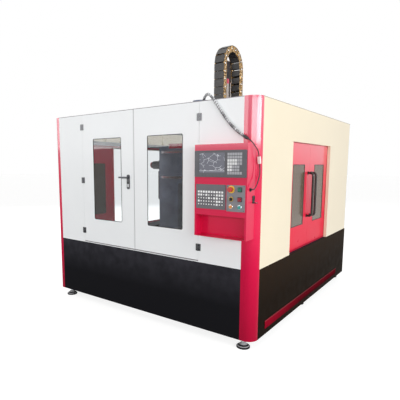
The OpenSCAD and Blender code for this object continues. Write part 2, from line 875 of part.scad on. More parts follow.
module saddle() {
  color("dimgray") {
    bar([-sad_hw, sad_y0, sad_z0], [sad_hw, sad_y1, sad_z1]);
    // blocks on the beam rails
    for (z = x_rail_zs, x = [-sad_hw + 20, sad_hw - 140]) difference() {
      bar([x, sad_y1 - 1, z - 42], [x + 120, beam_y0 - 6, z + 42]);
      bar([x - 1, beam_y0 - rail_h - guide_gap, z - rail_w / 2 - guide_gap],
        [x + 121, beam_y0, z + rail_w / 2 + guide_gap]);
    }
    // blocks on the ram rails
    both() for (z = [sad_z0 + 30, sad_z0 + 250]) difference() {
      bar([z_rail_x - 42, ram_y1 + 6, z], [z_rail_x + 42, sad_y0 + 1, z + 120]);
      bar([z_rail_x - rail_w / 2 - guide_gap, ram_y1, z - 1],
        [z_rail_x + rail_w / 2 + guide_gap, ram_y1 + rail_h + guide_gap, z + 121]);
    }
    // arm over the beam that holds the chain, with a post and a rod in the loop and a wall beside it
    bar([chain_x - 90, sad_y0, sad_z1 - 19], [chain_x + 60, chain_y + arc_r + 40, sad_z1]);
    translate([chain_x - 42, sad_y0 + 20, sad_z1 - 1]) cylinder(h = post_top - sad_z1 + 1, d = 36);
    translate([chain_x - 2, sad_y0 + 20, sad_z1 - 1]) cylinder(h = post_top - sad_z1 - 50, d = 10);
    bar([chain_x - 73, chain_y + 64, sad_z1 - 1], [chain_x - 68, chain_y + 176, chain_z + 100]);
  }
}

module z_motor() {
  color("dimgray") translate([-190, sad_y0 + 66, sad_z1]) rotate([0, 90, 0]) servo();
}

module ram() {
  color("dimgray") {
    bar([-ram_hw, ram_y0, ram_z0], [ram_hw, ram_y1, ram_z1]);
    both() bar([z_rail_x - rail_w / 2, ram_y1 - 1, ram_z0], [z_rail_x + rail_w / 2, ram_y1 + rail_h, ram_z1]);
    difference() {
      translate([0, sp_y, house_z]) cylinder(h = ram_z0 - house_z + 1, d = nose_d + 66);
      translate([0, sp_y, house_z - 1]) cylinder(h = 111, d = nose_d - 16 + 2 * spindle_gap);
    }
    // spindle motor on top
    translate([0, sp_y, ram_z1 - 1]) cylinder(h = 300, d = 210);
    translate([0, sp_y, ram_z1 - 1]) cylinder(h = 24, d = 250);
    // arm of the moving chain end
    bar([ram_hw - 1, chain_y - arc_r - 36, foot_low - 52],
      [chain_x + 60, chain_y - arc_r + 36, foot_low - 32.5]);
  }
}

// spindle nose, tool holder and cutter
module spindle() {
  color("silver") translate([0, sp_y, house_z]) {
    translate([0, 0, 0]) cylinder(h = 100, d = nose_d - 16);
    translate([0, 0, -34.4]) cylinder(h = 34, d = nose_d);
    translate([0, 0, -1]) cylinder(h = 2, d = nose_d - 16);
    translate([0, 0, -56]) cylinder(h = 22, d = 63);
    translate([0, 0, -96]) cylinder(h = 41, d = 40);
    translate([0, 0, -135]) cylinder(h = 40, d = 16);
  }
}

// pin positions along the loop, in Y and Z
function pin(i) =
  i <= links_up ? [chain_y - arc_r, foot_low + i * link_p]
  : i <= links_up + arc_n ? let (a = 180 - (i - links_up) * 180 / arc_n)
    [chain_y + arc_r * cos(a), chain_z + arc_r * sin(a)]
  : [chain_y + arc_r, chain_z - (i - links_up - arc_n) * link_p];

// one link along X of its own frame, outer cover at high Y
module link(even) {
  xo = even ? link_w / 2 : link_w / 2 - 4.2;
  r = link_h / 2;
  for (s = [-1, 1]) translate([0, 0, s > 0 ? xo - 3.8 : -xo]) linear_extrude(3.8) {
    translate([-link_p / 2, -r]) square([link_p, link_h]);
    for (x = [-link_p / 2, link_p / 2]) translate([x, 0]) circle(r);
  }
  // outer cover laid over the plates on a bridge between them, and inner cover
  bar([-link_p / 2 + 3, r + cover_gap, -link_w / 2 - 1], [link_p / 2 - 3, r + 3.4, link_w / 2 + 1]);
  bar([-22, r - 3, -xo], [22, r + 1, xo]);
  bar([-link_p / 2 + 11, -r, -link_w / 2 + 8.5], [link_p / 2 - 11, 3 - r, link_w / 2 - 8.5]);
  bar([-22, -r, -xo + 1], [22, 3 - r, xo - 1]);
}

module drag_chain() {
  color("dimgray") for (i = [0:link_n - 1]) {
    a = pin(i);
    b = pin(i + 1);
    m = (a + b) / 2;
    translate([chain_x, m.x, m.y]) rotate([atan2(b.y - a.y, b.x - a.x), 0, 0])
      rotate([90, 0, 90]) link(i % 2 == 0);
  }
}

enclosure_frame();
foot_studs();
foot_pads();
lower_skirts();
corner_posts();
front_surround();
side_panels();
rear_panels();
side_trims();
hinge_bases();
door_tracks();
chip_pans();
left_door();
left_window();
left_hinge_halves();
lever_plate();
door_lever();
right_door();
right_window();
right_hinge_halves();
right_front_leaf();
right_front_pane();
right_front_handle();
right_rear_leaf();
right_rear_pane();
right_rear_handle();
left_front_leaf();
left_front_pane();
left_front_handle();
left_rear_leaf();
left_rear_pane();
left_rear_handle();
control_box();
cnc_panel();
cnc_screen();
panel_keys();
key_panel();
button_plate();
cable_sockets();
stop_button();
key_switch();
power_on_button();
power_off_button();
hold_button();
start_button();
loom_tube();
lead_tube();
lead_connector();
machine_bed();
guide_rails();
columns();
crossbeam();
beam_cover();
axis_motors();
work_table();
saddle();
z_motor();
ram();
spindle();
drag_chain();
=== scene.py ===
import math

import bmesh
import bpy
import numpy as np
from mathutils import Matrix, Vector


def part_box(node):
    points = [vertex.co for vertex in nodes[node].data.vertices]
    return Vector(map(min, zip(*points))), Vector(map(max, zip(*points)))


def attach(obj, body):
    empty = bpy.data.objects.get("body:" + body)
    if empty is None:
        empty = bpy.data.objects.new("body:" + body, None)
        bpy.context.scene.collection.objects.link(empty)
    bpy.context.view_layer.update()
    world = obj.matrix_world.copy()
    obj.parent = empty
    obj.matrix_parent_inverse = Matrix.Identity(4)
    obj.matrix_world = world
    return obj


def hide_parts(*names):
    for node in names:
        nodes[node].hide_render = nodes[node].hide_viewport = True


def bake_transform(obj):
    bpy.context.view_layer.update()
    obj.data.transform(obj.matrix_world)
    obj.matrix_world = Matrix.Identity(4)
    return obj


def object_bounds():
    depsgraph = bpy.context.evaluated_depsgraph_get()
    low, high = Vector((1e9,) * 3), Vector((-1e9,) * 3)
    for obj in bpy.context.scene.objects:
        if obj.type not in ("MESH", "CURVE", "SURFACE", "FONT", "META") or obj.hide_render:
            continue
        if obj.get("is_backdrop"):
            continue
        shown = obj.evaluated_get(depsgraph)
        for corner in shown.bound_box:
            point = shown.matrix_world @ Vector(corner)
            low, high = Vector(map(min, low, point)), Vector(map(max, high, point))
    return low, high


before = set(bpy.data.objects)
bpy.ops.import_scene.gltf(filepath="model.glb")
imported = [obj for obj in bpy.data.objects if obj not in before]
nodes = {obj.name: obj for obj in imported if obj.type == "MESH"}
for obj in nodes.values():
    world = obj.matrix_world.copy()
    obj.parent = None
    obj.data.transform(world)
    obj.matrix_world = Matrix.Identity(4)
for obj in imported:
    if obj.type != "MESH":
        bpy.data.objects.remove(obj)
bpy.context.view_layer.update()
scene = bpy.context.scene
scene.view_settings.view_transform = "Standard"

# Planes of the front sheets and of the right flank's lower sheet, in metres. Front pieces are given by
# their distance behind the first.
FRONT = -1.324
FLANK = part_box("lower_skirts")[1].x
# Angle between faces over which an edge of a new piece stays sharp.
CREASE = math.radians(35)
# A direction that no cord runs along: the start of each ring round a cord is square to it.
ACROSS = (0.3, 1.0, 0.1)

# Camera: at chest height off the right front corner, turned left and a little down.
view_lens = bpy.data.cameras.new("front_right_view")
view_lens.sensor_width = 36.0
view_lens.lens = 34.91
view_lens.shift_x = 0.07
view_lens.shift_y = 0.0375
camera = bpy.data.objects.new("front_right_view", view_lens)
camera.location = (2.581, -4.135, 1.542)
camera.rotation_euler = (math.radians(82.691), 0.0, math.radians(37.496))
scene.collection.objects.link(camera)
scene.camera = camera


def linear(code):
    """sRGB hex to linear colour: v / 12.92 up to 0.04045, and ((v + 0.055) / 1.055) ^ 2.4 above it."""
    v = np.array([int(code[i:i + 2], 16) / 255 for i in (1, 3, 5)])
    v = np.where(v <= 0.04045, v / 12.92, ((v + 0.055) / 1.055) ** 2.4)
    return (*v.tolist(), 1.0)


def add(finish, kind, sockets=None, **fields):
    """Adds a node of that kind, or takes the node given: fields are its own settings, and sockets
    its inputs, each a plain value or the output that feeds it."""
    node = finish.node_tree.nodes.new(kind) if isinstance(kind, str) else kind
    for field, value in fields.items():
        setattr(node, field, value)
    for key, value in (sockets or {}).items():
        if isinstance(value, bpy.types.NodeSocket):
            finish.node_tree.links.new(value, node.inputs[key])
        else:
            node.inputs[key].default_value = value
    return node


def begin(name):
    """A new finish with its shader, and the Object coordinates that its patterns read, in metres."""
    finish = bpy.data.materials.new(name)
    finish.use_nodes = True
    place = add(finish, "ShaderNodeTexCoord").outputs["Object"]
    return finish, finish.node_tree.nodes["Principled BSDF"], place


def mottled(finish, place, scale, detail, deep, pale):
    """Noise of that scale, in cycles to the unit of place, and the two tones that it mixes in patches."""
    noise = add(finish, "ShaderNodeTexNoise", {"Vector": place, "Scale": scale, "Detail": detail})
    patches = noise.outputs["Fac"]
    tint = add(finish, "ShaderNodeMix", {0: patches, 6: linear(deep), 7: linear(pale)}, data_type="RGBA")
    return patches, tint.outputs[2]


def rippled(finish, place, scale, detail, strength, distance=0.002):
    """The normals of a skin whose relief is noise of that scale, up to distance in metres."""
    skin = add(finish, "ShaderNodeTexNoise", {"Vector": place, "Scale": scale, "Detail": detail})
    relief = {"Height": skin.outputs["Fac"], "Strength": strength, "Distance": distance}
    return add(finish, "ShaderNodeBump", relief).outputs[0]


def surface(name, grids, finish, body, uv=None):
    """One closed mesh from grids of points shaped (count, rows, columns, 3): four neighbours make a
    face, points that meet are merged, and the sign of the volume, the sum of a . (b x c), turns all
    faces outward. Edges over CREASE stay sharp. uv is one pair for each point of a grid."""
    grids = np.asarray(grids, float)
    grids = grids.reshape((-1,) + grids.shape[-3:])
    count, rows, columns = grids.shape[:3]
    index = np.arange(count * rows * columns).reshape(count, rows, columns)
    corners = (index[:, :-1, :-1], index[:, :-1, 1:], index[:, 1:, 1:], index[:, 1:, :-1])
    faces = np.stack(corners, -1).reshape(-1, 4)
    points = grids.reshape(-1, 3)
    a, b, c, d = (points[faces[:, k]] - points.mean(0) for k in range(4))
    if np.einsum("ij,ij->", a, np.cross(b, c) + np.cross(c, d)) < 0:
        faces = faces[:, ::-1]
    mesh = bpy.data.meshes.new(name)
    mesh.from_pydata(points, [], faces)
    if uv is not None:
        layer = mesh.uv_layers.new(name="along")
        layer.data.foreach_set("uv", np.tile(uv.reshape(-1, 2), (count, 1))[faces.ravel()].ravel())
    shape = bmesh.new()
    shape.from_mesh(mesh)
    bmesh.ops.remove_doubles(shape, verts=shape.verts, dist=1e-6)
    shape.to_mesh(mesh)
    shape.free()
    mesh.polygons.foreach_set("use_smooth", np.ones(len(mesh.polygons), bool))
    mesh.set_sharp_from_angle(angle=CREASE)
    mesh.materials.append(finish)
    piece = bpy.data.objects.new(name, mesh)
    scene.collection.objects.link(piece)
    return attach(piece, body) if body else piece


def smooth_route(points, steps):
    """Curve through given points a, b, c, d: on the span from b to c the cubic of t that keeps
    half of c - a and of d - b as its end slopes, at equal steps of t."""
    last = len(points) - 1
    i = np.arange(last)
    a, b, c, d = (points[np.clip(i + k, 0, last)][:, None] for k in (-1, 0, 1, 2))
    t = (np.arange(steps) / steps)[None, :, None]
    span = 2 * b + (c - a) * t + (2 * a - 5 * b + 4 * c - d) * t**2
    span = 0.5 * (span + (3 * b - a - 3 * c + d) * t**3)
    return np.vstack([span.reshape(-1, 3), points[-1:]])


def lengths(route):
    """Distance along a route at each of its points: the running sum of its steps."""
    return np.concatenate([[0.0], np.cumsum(np.linalg.norm(np.diff(route, axis=0), axis=1))])


def carried(route, radius, around):
    """A round profile carried along a route: at each station a ring in the plane square to the
    route, radius (cos v, sin v), that starts square to ACROSS; radius may differ by station and angle.
    The ends close on their centres. Also gives a uv pair for each point: metres along, and turns round."""
    along = np.gradient(route, axis=0)
    along /= np.linalg.norm(along, axis=1, keepdims=True)
    side = np.cross(along, ACROSS)
    side /= np.linalg.norm(side, axis=1, keepdims=True)
    over = np.cross(along, side)
    turn = np.linspace(0, 1, around + 1)
    ring = np.cos(2 * np.pi * turn)[None, :, None] * side[:, None]
    ring = ring + np.sin(2 * np.pi * turn)[None, :, None] * over[:, None]
    radius = np.broadcast_to(radius, (len(route), around + 1))[..., None]
    grid = route[:, None] + radius * ring
    first = np.broadcast_to(route[0], (1, around + 1, 3))
    last = np.broadcast_to(route[-1], (1, around + 1, 3))
    s = lengths(route)
    s = np.concatenate([s[:1], s, s[-1:]])
    uv = np.stack(np.broadcast_arrays(s[:, None], turn[None]), -1)
    return np.concatenate([first, grid, last]), uv


# Loom finish. Polyethylene spiral wrap over a bundle of leads, cut from tube: a dull grey band
# that winds round with a dark gap at each turn, and is grubbier in patches.
loom_finish, shader, place = begin("spiral_wrap_polyethylene")
uv_map = add(loom_finish, "ShaderNodeUVMap", uv_map="along")
parts = add(loom_finish, "ShaderNodeSeparateXYZ", {0: uv_map.outputs[0]})
WRAP_PITCH = 0.022  # one turn of the band, in metres
LOOM_R = 0.0118  # radius over the band
GAP_DEPTH = 0.0014  # how far the surface dips between two turns
LOOM_SIDES = 20
LEAD_R = 0.004
BOOT_WALL = 0.0012
turns = add(loom_finish, "ShaderNodeMath", {0: parts.outputs[0], 1: 1 / WRAP_PITCH}, operation="MULTIPLY")
phase = add(loom_finish, "ShaderNodeMath", {0: turns.outputs[0], 1: parts.outputs[1]}, operation="SUBTRACT")
phase = add(loom_finish, "ShaderNodeMath", {0: phase.outputs[0]}, operation="FRACT")
gap = add(loom_finish, "ShaderNodeMath", {0: phase.outputs[0], 1: 0.5, 2: 0.13}, operation="COMPARE")
grime_and_shade = add(loom_finish, "ShaderNodeTexNoise", {"Vector": place, "Scale": 11.0, "Detail": 4.0})
grime_and_shade = add(loom_finish, "ShaderNodeMapRange",
            {"Value": grime_and_shade.outputs["Fac"], "From Min": 0.42, "From Max": 0.56})
band = add(loom_finish, "ShaderNodeMix", {0: grime_and_shade.outputs[0], 6: linear("#56565a"), 7: linear("#cfd0d2")},
           data_type="RGBA")
wrap = add(loom_finish, "ShaderNodeMix", {0: gap.outputs[0], 6: band.outputs[2], 7: linear("#3b3b3f")},
           data_type="RGBA")
add(loom_finish, shader, {"Base Color": wrap.outputs[2], "Roughness": 0.55})

# Lead finish. Black PVC sheath, extruded: matt with a faint shine and fine dust.
lead_finish, shader, place = begin("black_pvc_sheath")
tint = mottled(lead_finish, place, 160.0, 2.0, "#141416", "#2f2f33")[1]
add(lead_finish, shader, {"Base Color": tint, "Roughness": 0.48})

# The loom comes up behind the top rail, hangs down across the front and ends in a shrunk boot.
# The lead leaves the boot, rounds the post through a connector and goes into the box's side.
LOOM = [[690, 107, 2065], [692, 104, 2086], [708, 84, 2106], [742, 48, 2121], [780, 16, 2128],
        [815, -6, 2122], [842, -15, 2102], [866, -14, 2074], [892, -13, 2038], [945, -13, 1966],
        [1002, -13, 1892], [1075, -15, 1822], [1138, -22, 1778], [1186, -40, 1752]]
LEAD = [[1188, -41, 1751], [1214, -54, 1738], [1240, -52, 1716], [1250, -30, 1690], [1258, 0, 1660],
        [1261, 14, 1634], [1261, 21, 1608], [1261, 35, 1556], [1261, 42, 1530], [1263, 42, 1500],
        [1264, 34, 1462], [1266, 10, 1424], [1268, -24, 1386], [1263, -52, 1360], [1249, -62, 1354]]
loom_route = smooth_route(np.array(LOOM) / 1000 + (0, FRONT, 0), 40)
lead_route = smooth_route(np.array(LEAD) / 1000 + (0, FRONT, 0), 10)

loom_s = lengths(loom_route)
# The band's radius dips along the helix where the turn count less the angle has the fraction 0.5.
wound = (loom_s[:, None] / WRAP_PITCH - np.linspace(0, 1, LOOM_SIDES + 1)[None]) % 1.0
loom_radius = LOOM_R - GAP_DEPTH * np.exp(-((wound - 0.5) / 0.2) ** 4)
loom_grid, loom_uv = carried(loom_route, loom_radius, LOOM_SIDES)
loom = surface("loom_wrap", loom_grid, loom_finish, "frame", loom_uv)
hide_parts("loom_tube")

lead_grid, lead_uv = carried(lead_route, LEAD_R, 12)
lead = surface("panel_lead", lead_grid, lead_finish, "frame", lead_uv)
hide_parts("lead_tube")

# Boot: a wall's thickness over what it holds, its radius falls from the wrap's to the lead's along a
# smooth step, 3 t^2 - 2 t^3.
boot_route = np.vstack([loom_route[-24::2], lead_route[2:12]])
boot_t = np.clip((lengths(boot_route) / lengths(boot_route)[-1] - 0.35) / 0.5, 0, 1)
boot_r = LOOM_R + BOOT_WALL - (LOOM_R - LEAD_R) * (3 * boot_t**2 - 2 * boot_t**3)
boot = surface("loom_boot", carried(boot_route, boot_r[:, None], 16)[0], lead_finish, "frame")


def sprayed(name, deep, pale, rough, wave_mm, peel, cloud_mm=420.0, shine=0.5):
    """Paint sprayed on sheet steel: a slow cloud of two near colours and of roughness, and a bump
    of sheet waviness and peel, both from noise of those sizes; shine is how much it mirrors."""
    finish, shader, place = begin(name)
    cloud = add(finish, "ShaderNodeTexNoise",
                {"Vector": place, "Scale": 1000 / cloud_mm, "Detail": 4.0, "Roughness": 0.55})
    tint = add(finish, "ShaderNodeMix", {0: cloud.outputs["Fac"], 6: linear(deep), 7: linear(pale)},
               data_type="RGBA")
    haze = add(finish, "ShaderNodeMapRange",
               {"Value": cloud.outputs["Fac"], "From Min": 0.3, "From Max": 0.7,
                "To Min": rough * 0.85, "To Max": rough * 1.2})
    ripple = rippled(finish, place, 1000 / wave_mm, 5.0, peel)
    add(finish, shader, {"Base Color": tint.outputs[2], "Roughness": haze.outputs[0],
                         "Specular IOR Level": shine, "Normal": ripple})
    return finish


def enamelled(name, low, deep, pale, dry, wet):
    """Gloss enamel on folded sheet: a slow cloud of two near reds, 420 mm across, under a clear gloss
    whose reflections are bent by the sheet's waves, 260 mm long. Dust and wiping have taken the
    gloss off, from all of it at height dry to none at height wet. The low tone is painted shade, the
    red darkened toward the floor, up to 1 m. A painted highlight turns it a little toward pink, from
    1.45 m up."""
    finish, shader, place = begin(name)
    height = add(finish, "ShaderNodeSeparateXYZ", {0: place})
    gloss = add(finish, "ShaderNodeMapRange",
                {"Value": height.outputs["Z"], "From Min": dry, "From Max": wet})
    # Painted shade: the red darkens from 1 m down toward the floor.
    unshaded = add(finish, "ShaderNodeMapRange",
                {"Value": height.outputs["Z"], "From Min": 0.1, "From Max": 1.0})
    cloud, fresh = mottled(finish, place, 1000 / 420, 4.0, deep, pale)
    tint = add(finish, "ShaderNodeMix", {0: unshaded.outputs[0], 6: linear(low), 7: fresh}, data_type="RGBA")
    # Painted highlight: the red turns toward pink from 1.45 m up.
    pink_highlight = add(finish, "ShaderNodeMapRange",
                 {"Value": height.outputs["Z"], "From Min": 1.45, "From Max": 2.08, "To Max": 0.36})
    tint = add(finish, "ShaderNodeMix", {0: pink_highlight.outputs[0], 6: tint.outputs[2], 7: linear("#eea2b0")},
               data_type="RGBA")
    dull = add(finish, "ShaderNodeMapRange", {"Value": cloud, "From Min": 0.3, "From Max": 0.7,
                                              "To Min": 0.26, "To Max": 0.36})
    ripple = rippled(finish, place, 1000 / 260, 5.0, 0.07)
    add(finish, shader, {"Base Color": tint.outputs[2], "Roughness": dull.outputs[0],
                         "Specular IOR Level": 0.06, "Normal": ripple, "Coat Normal": ripple,
                         "Coat Weight": gloss.outputs[0], "Coat Roughness": 0.09})
    return finish


def moulded(name, deep, pale, rough=0.28):
    """Moulded plastic: even colour that handling has dulled a little in fine cloudy patches."""
    finish, shader, place = begin(name)
    rub, tint = mottled(finish, place, 90.0, 4.0, deep, pale)
    dull = add(finish, "ShaderNodeMapRange", {"Value": rub, "From Min": 0.3, "From Max": 0.7,
                                              "To Min": rough * 0.7, "To Max": rough * 1.4})
    add(finish, shader, {"Base Color": tint, "Roughness": dull.outputs[0]})
    return finish


def worked_metal(name, deep, pale, rough, grain, bump=0.05):
    """Bare or plated metal: noise stretched by grain, cycles to the metre along X, Y and Z, gives
    the tool marks, in colour, roughness and a shallow bump."""
    finish, shader, place = begin(name)
    stretch = add(finish, "ShaderNodeMapping", {"Vector": place, "Scale": grain})
    marks, tint = mottled(finish, stretch.outputs[0], 1.0, 4.0, deep, pale)
    dull = add(finish, "ShaderNodeMapRange", {"Value": marks, "From Min": 0.3, "From Max": 0.7,
                                              "To Min": rough * 0.75, "To Max": rough * 1.3})
    relief = add(finish, "ShaderNodeBump", {"Height": marks, "Strength": bump, "Distance": 0.001})
    add(finish, shader, {"Base Color": tint, "Roughness": dull.outputs[0], "Metallic": 1.0,
                         "Normal": relief.outputs[0]})
    return finish


def shade_over(finish, mask, tone):
    """Lays painted shade of one tone over a finish's own colour, as far as the mask goes from 0 to 1."""
    shader = finish.node_tree.nodes["Principled BSDF"]
    unshaded = shader.inputs["Base Color"].links[0].from_socket
    tint = add(finish, "ShaderNodeMix", {0: mask, 6: unshaded, 7: linear(tone)}, data_type="RGBA")
    add(finish, shader, {"Base Color": tint.outputs[2]})


# Crimson enamel of the posts and the control box: deep red, wet to the eye higher up, darker toward the floor
# by painted shade and pinker at the top by a painted highlight.
crimson_gloss = enamelled("crimson_gloss_enamel", "#a80e33", "#d01343", "#dc1b4d", 0.7, 1.7)
# The leaves of the side doors: the same kind of red, painted warmer and brighter to stand in for the warm
# light on them, dull in its lower half.
leaf_gloss_warm_lit = enamelled("crimson_enamel_painted_warm_light", "#d41536", "#d9193b", "#e32042", 0.9, 1.7)
# The same red with less gloss, on the tracks and on the bridge's cover.
crimson_satin = sprayed("crimson_satin_enamel", "#a80f2e", "#b81536", 0.42, 120.0, 0.1, shine=0.12)
# Crimson strips along the skirts, dulled by dirt, patchy at 90 mm: cleanest at their front end, brown
# from near the middle on. Painted shade darkens their lower half, and a painted highlight, a paler
# line, runs along the top edge.
HIGHLIGHT_BAND = 0.01  # height of the painted highlight along the top edge, in metres
kick_coat, shader, place = begin("crimson_strip_dirt_and_painted_light")
strip_low, strip_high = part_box("side_trims")
spot = add(kick_coat, "ShaderNodeSeparateXYZ", {0: place})
back = add(kick_coat, "ShaderNodeMapRange",
           {"Value": spot.outputs["Y"], "From Min": -1.1, "From Max": -0.25, "To Min": 0.02, "To Max": 0.6})
# Painted shade: darker over the lower half of the strip.
low = add(kick_coat, "ShaderNodeMapRange",
          {"Value": spot.outputs["Z"], "From Min": strip_low.z,
           "From Max": (strip_low.z + strip_high.z) / 2, "To Min": 0.2, "To Max": 0.0})
dirt_and_shade = add(kick_coat, "ShaderNodeTexNoise", {"Vector": place, "Scale": 1000 / 90, "Detail": 5.0})
dirt_and_shade = add(kick_coat, "ShaderNodeMath", {0: dirt_and_shade.outputs["Fac"], 1: 0.3, 2: back.outputs[0]},
           operation="MULTIPLY_ADD")
dirt_and_shade = add(kick_coat, "ShaderNodeMath", {0: dirt_and_shade.outputs[0], 1: low.outputs[0]}, use_clamp=True)
tint = add(kick_coat, "ShaderNodeMix", {0: dirt_and_shade.outputs[0], 6: linear("#9c1029"), 7: linear("#360f14")},
           data_type="RGBA")
# Painted highlight: a paler line along the top edge.
edge_highlight = add(kick_coat, "ShaderNodeMath", {0: spot.outputs["Z"], 1: strip_high.z - HIGHLIGHT_BAND},
            operation="GREATER_THAN")
edge_highlight = add(kick_coat, "ShaderNodeMath", {0: edge_highlight.outputs[0], 1: 0.2}, operation="MULTIPLY")
tint = add(kick_coat, "ShaderNodeMix", {0: edge_highlight.outputs[0], 6: tint.outputs[2], 7: linear("#9a6a6c")},
           data_type="RGBA")
add(kick_coat, shader, {"Base Color": tint.outputs[2], "Roughness": 0.6, "Specular IOR Level": 0.0})
# Cool white powder coat: clean and satin, with a fine peel, drawn at 18 mm so that it shows. Painted
# shade greys the sheets' top edge, the edges along the doors' bottoms and, more faintly, the edges
# where the two doors meet.
TOP_SHADE = 0.006  # height of the painted shade on the sheets' top edge, in metres
white_coat = sprayed("cool_white_powder_coat", "#eceef0", "#f4f6f7", 0.34, 18.0, 0.06)
place = add(white_coat, "ShaderNodeTexCoord").outputs["Object"]
spot = add(white_coat, "ShaderNodeSeparateXYZ", {0: place})
doors_low, doors_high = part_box("left_door")[0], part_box("right_door")[1]
doors_x = (doors_low.x + doors_high.x) / 2
front = add(white_coat, "ShaderNodeMath", {0: spot.outputs["Y"], 1: FRONT + 0.1}, operation="LESS_THAN")
across = add(white_coat, "ShaderNodeMath", {0: spot.outputs["X"], 1: doors_x, 2: doors_high.x - doors_x},
             operation="COMPARE")
bottoms = add(white_coat, "ShaderNodeMath", {0: spot.outputs["Z"], 1: doors_low.z - 0.002, 2: 0.005},
              operation="COMPARE")
bottoms = add(white_coat, "ShaderNodeMath", {0: bottoms.outputs[0], 1: across.outputs[0]},
              operation="MULTIPLY")
meeting = add(white_coat, "ShaderNodeMath", {0: spot.outputs["X"], 1: doors_x, 2: 0.006},
              operation="COMPARE")
meeting = add(white_coat, "ShaderNodeMath", {0: meeting.outputs[0], 1: 0.4}, operation="MULTIPLY")
grime_and_shade = add(white_coat, "ShaderNodeMath", {0: bottoms.outputs[0], 1: meeting.outputs[0]},
            operation="MAXIMUM")
grime_and_shade = add(white_coat, "ShaderNodeMath", {0: grime_and_shade.outputs[0], 1: front.outputs[0]}, operation="MULTIPLY")
top = add(white_coat, "ShaderNodeMath", {0: spot.outputs["Z"], 1: doors_high.z - TOP_SHADE},
          operation="GREATER_THAN")
grime_and_shade = add(white_coat, "ShaderNodeMath", {0: grime_and_shade.outputs[0], 1: top.outputs[0]}, operation="MAXIMUM")
# Painted shade along the sheets' top edge and the doors' edges.
shade_over(white_coat, grime_and_shade.outputs[0], "#8b878c")
# Cream powder coat of the sides, warmer than the front, with painted shade on the sheets' top edge alone.
cream_coat = sprayed("cream_powder_coat", "#e0d4b9", "#e9dec6", 0.34, 18.0, 0.06)
place = add(cream_coat, "ShaderNodeTexCoord").outputs["Object"]
spot = add(cream_coat, "ShaderNodeSeparateXYZ", {0: place})
top = add(cream_coat, "ShaderNodeMath", {0: spot.outputs["Z"], 1: doors_high.z - TOP_SHADE},
          operation="GREATER_THAN")
shade_over(cream_coat, top.outputs[0], "#aaa28f")
# Black gloss coating on the round handle tubes.
handle_coat = sprayed("black_dipped_handle", "#201917", "#302624", 0.22, 40.0, 0.08, 60.0)
# Hinges: zinc under a black coat, greyed by a painted sheen from none at 0.8 m to most at 1.9 m.
hinge_coat, shader, place = begin("black_hinge_painted_sheen")
height = add(hinge_coat, "ShaderNodeSeparateXYZ", {0: place})
hinge_sheen = add(hinge_coat, "ShaderNodeMapRange",
            {"Value": height.outputs["Z"], "From Min": 0.8, "From Max": 1.9})
rub = add(hinge_coat, "ShaderNodeTexNoise", {"Vector": place, "Scale": 1000 / 30, "Detail": 4.0})
dull = add(hinge_coat, "ShaderNodeMapRange", {"Value": rub.outputs["Fac"], "To Min": 0.2, "To Max": 0.32})
tint = add(hinge_coat, "ShaderNodeMix", {0: hinge_sheen.outputs[0], 6: linear("#2c2d30"), 7: linear("#77787d")},
           data_type="RGBA")
add(hinge_coat, shader, {"Base Color": tint.outputs[2], "Roughness": dull.outputs[0]})
# Feet: black enamel on cast bells, with a painted highlight, a pale ring inside the rim, 15 to 20 mm
# up, and bright bare metal where the stud's collar sits, from 30 mm up.
foot_coat, shader, place = begin("black_foot_enamel")
height = add(foot_coat, "ShaderNodeSeparateXYZ", {0: place})
# Painted highlight: the pale ring on the rim.
ring = add(foot_coat, "ShaderNodeMath", {0: height.outputs["Z"], 1: 0.0175, 2: 0.0026}, operation="COMPARE")
collar = add(foot_coat, "ShaderNodeMath", {0: height.outputs["Z"], 1: 0.03}, operation="GREATER_THAN")
highlight_and_bare = add(foot_coat, "ShaderNodeMath", {0: ring.outputs[0], 1: collar.outputs[0]}, operation="MAXIMUM")
black = mottled(foot_coat, place, 1000 / 40, 4.0, "#121213", "#262628")[1]
tint = add(foot_coat, "ShaderNodeMix", {0: highlight_and_bare.outputs[0], 6: black, 7: linear("#a4a4a6")}, data_type="RGBA")
add(foot_coat, shader, {"Base Color": tint.outputs[2], "Roughness": 0.45, "Specular IOR Level": 0.15})
# Grey primer on the welded tubes of the inner frame.
frame_coat = sprayed("grey_frame_primer", "#6d7074", "#7d8085", 0.5, 60.0, 0.15)
# Slate machine enamel filled over rough castings: a lumpy satin skin, dark in patches about 300 mm
# across and pale between them, the pale tone a painted reflection.
casting_coat, shader, place = begin("slate_casting_enamel")
cloud = add(casting_coat, "ShaderNodeTexNoise", {"Vector": place, "Scale": 1000 / 300, "Detail": 4.0})
pale_reflection = add(casting_coat, "ShaderNodeMapRange",
            {"Value": cloud.outputs["Fac"], "From Min": 0.25, "From Max": 0.8})
tint = add(casting_coat, "ShaderNodeMix", {0: pale_reflection.outputs[0], 6: linear("#374155"), 7: linear("#828ca2")},
           data_type="RGBA")
ripple = rippled(casting_coat, place, 1000 / 70, 5.0, 0.45)
add(casting_coat, shader, {"Base Color": tint.outputs[2], "Roughness": 0.3, "Normal": ripple})

# Black powder coat of the lower band: deep, dull black, with a grey painted sheen that grows upward
# over 350 mm, patchy at 90 mm. On both flanks a painted warm reflection turns it brown.
band_coat, shader, place = begin("black_band_powder_coat")
height = add(band_coat, "ShaderNodeSeparateXYZ", {0: place})
# Painted sheen: the black greys upward.
sheen_rise = add(band_coat, "ShaderNodeMapRange",
           {"Value": height.outputs["Z"], "From Min": 0.34, "From Max": 0.69})
patch = add(band_coat, "ShaderNodeTexNoise", {"Vector": place, "Scale": 1000 / 90, "Detail": 6.0})
band_sheen = add(band_coat, "ShaderNodeMath", {0: sheen_rise.outputs[0], 1: patch.outputs["Fac"]}, operation="MULTIPLY")
grey = add(band_coat, "ShaderNodeMix", {0: band_sheen.outputs[0], 6: linear("#1b1b1e"), 7: linear("#44434a")},
           data_type="RGBA")
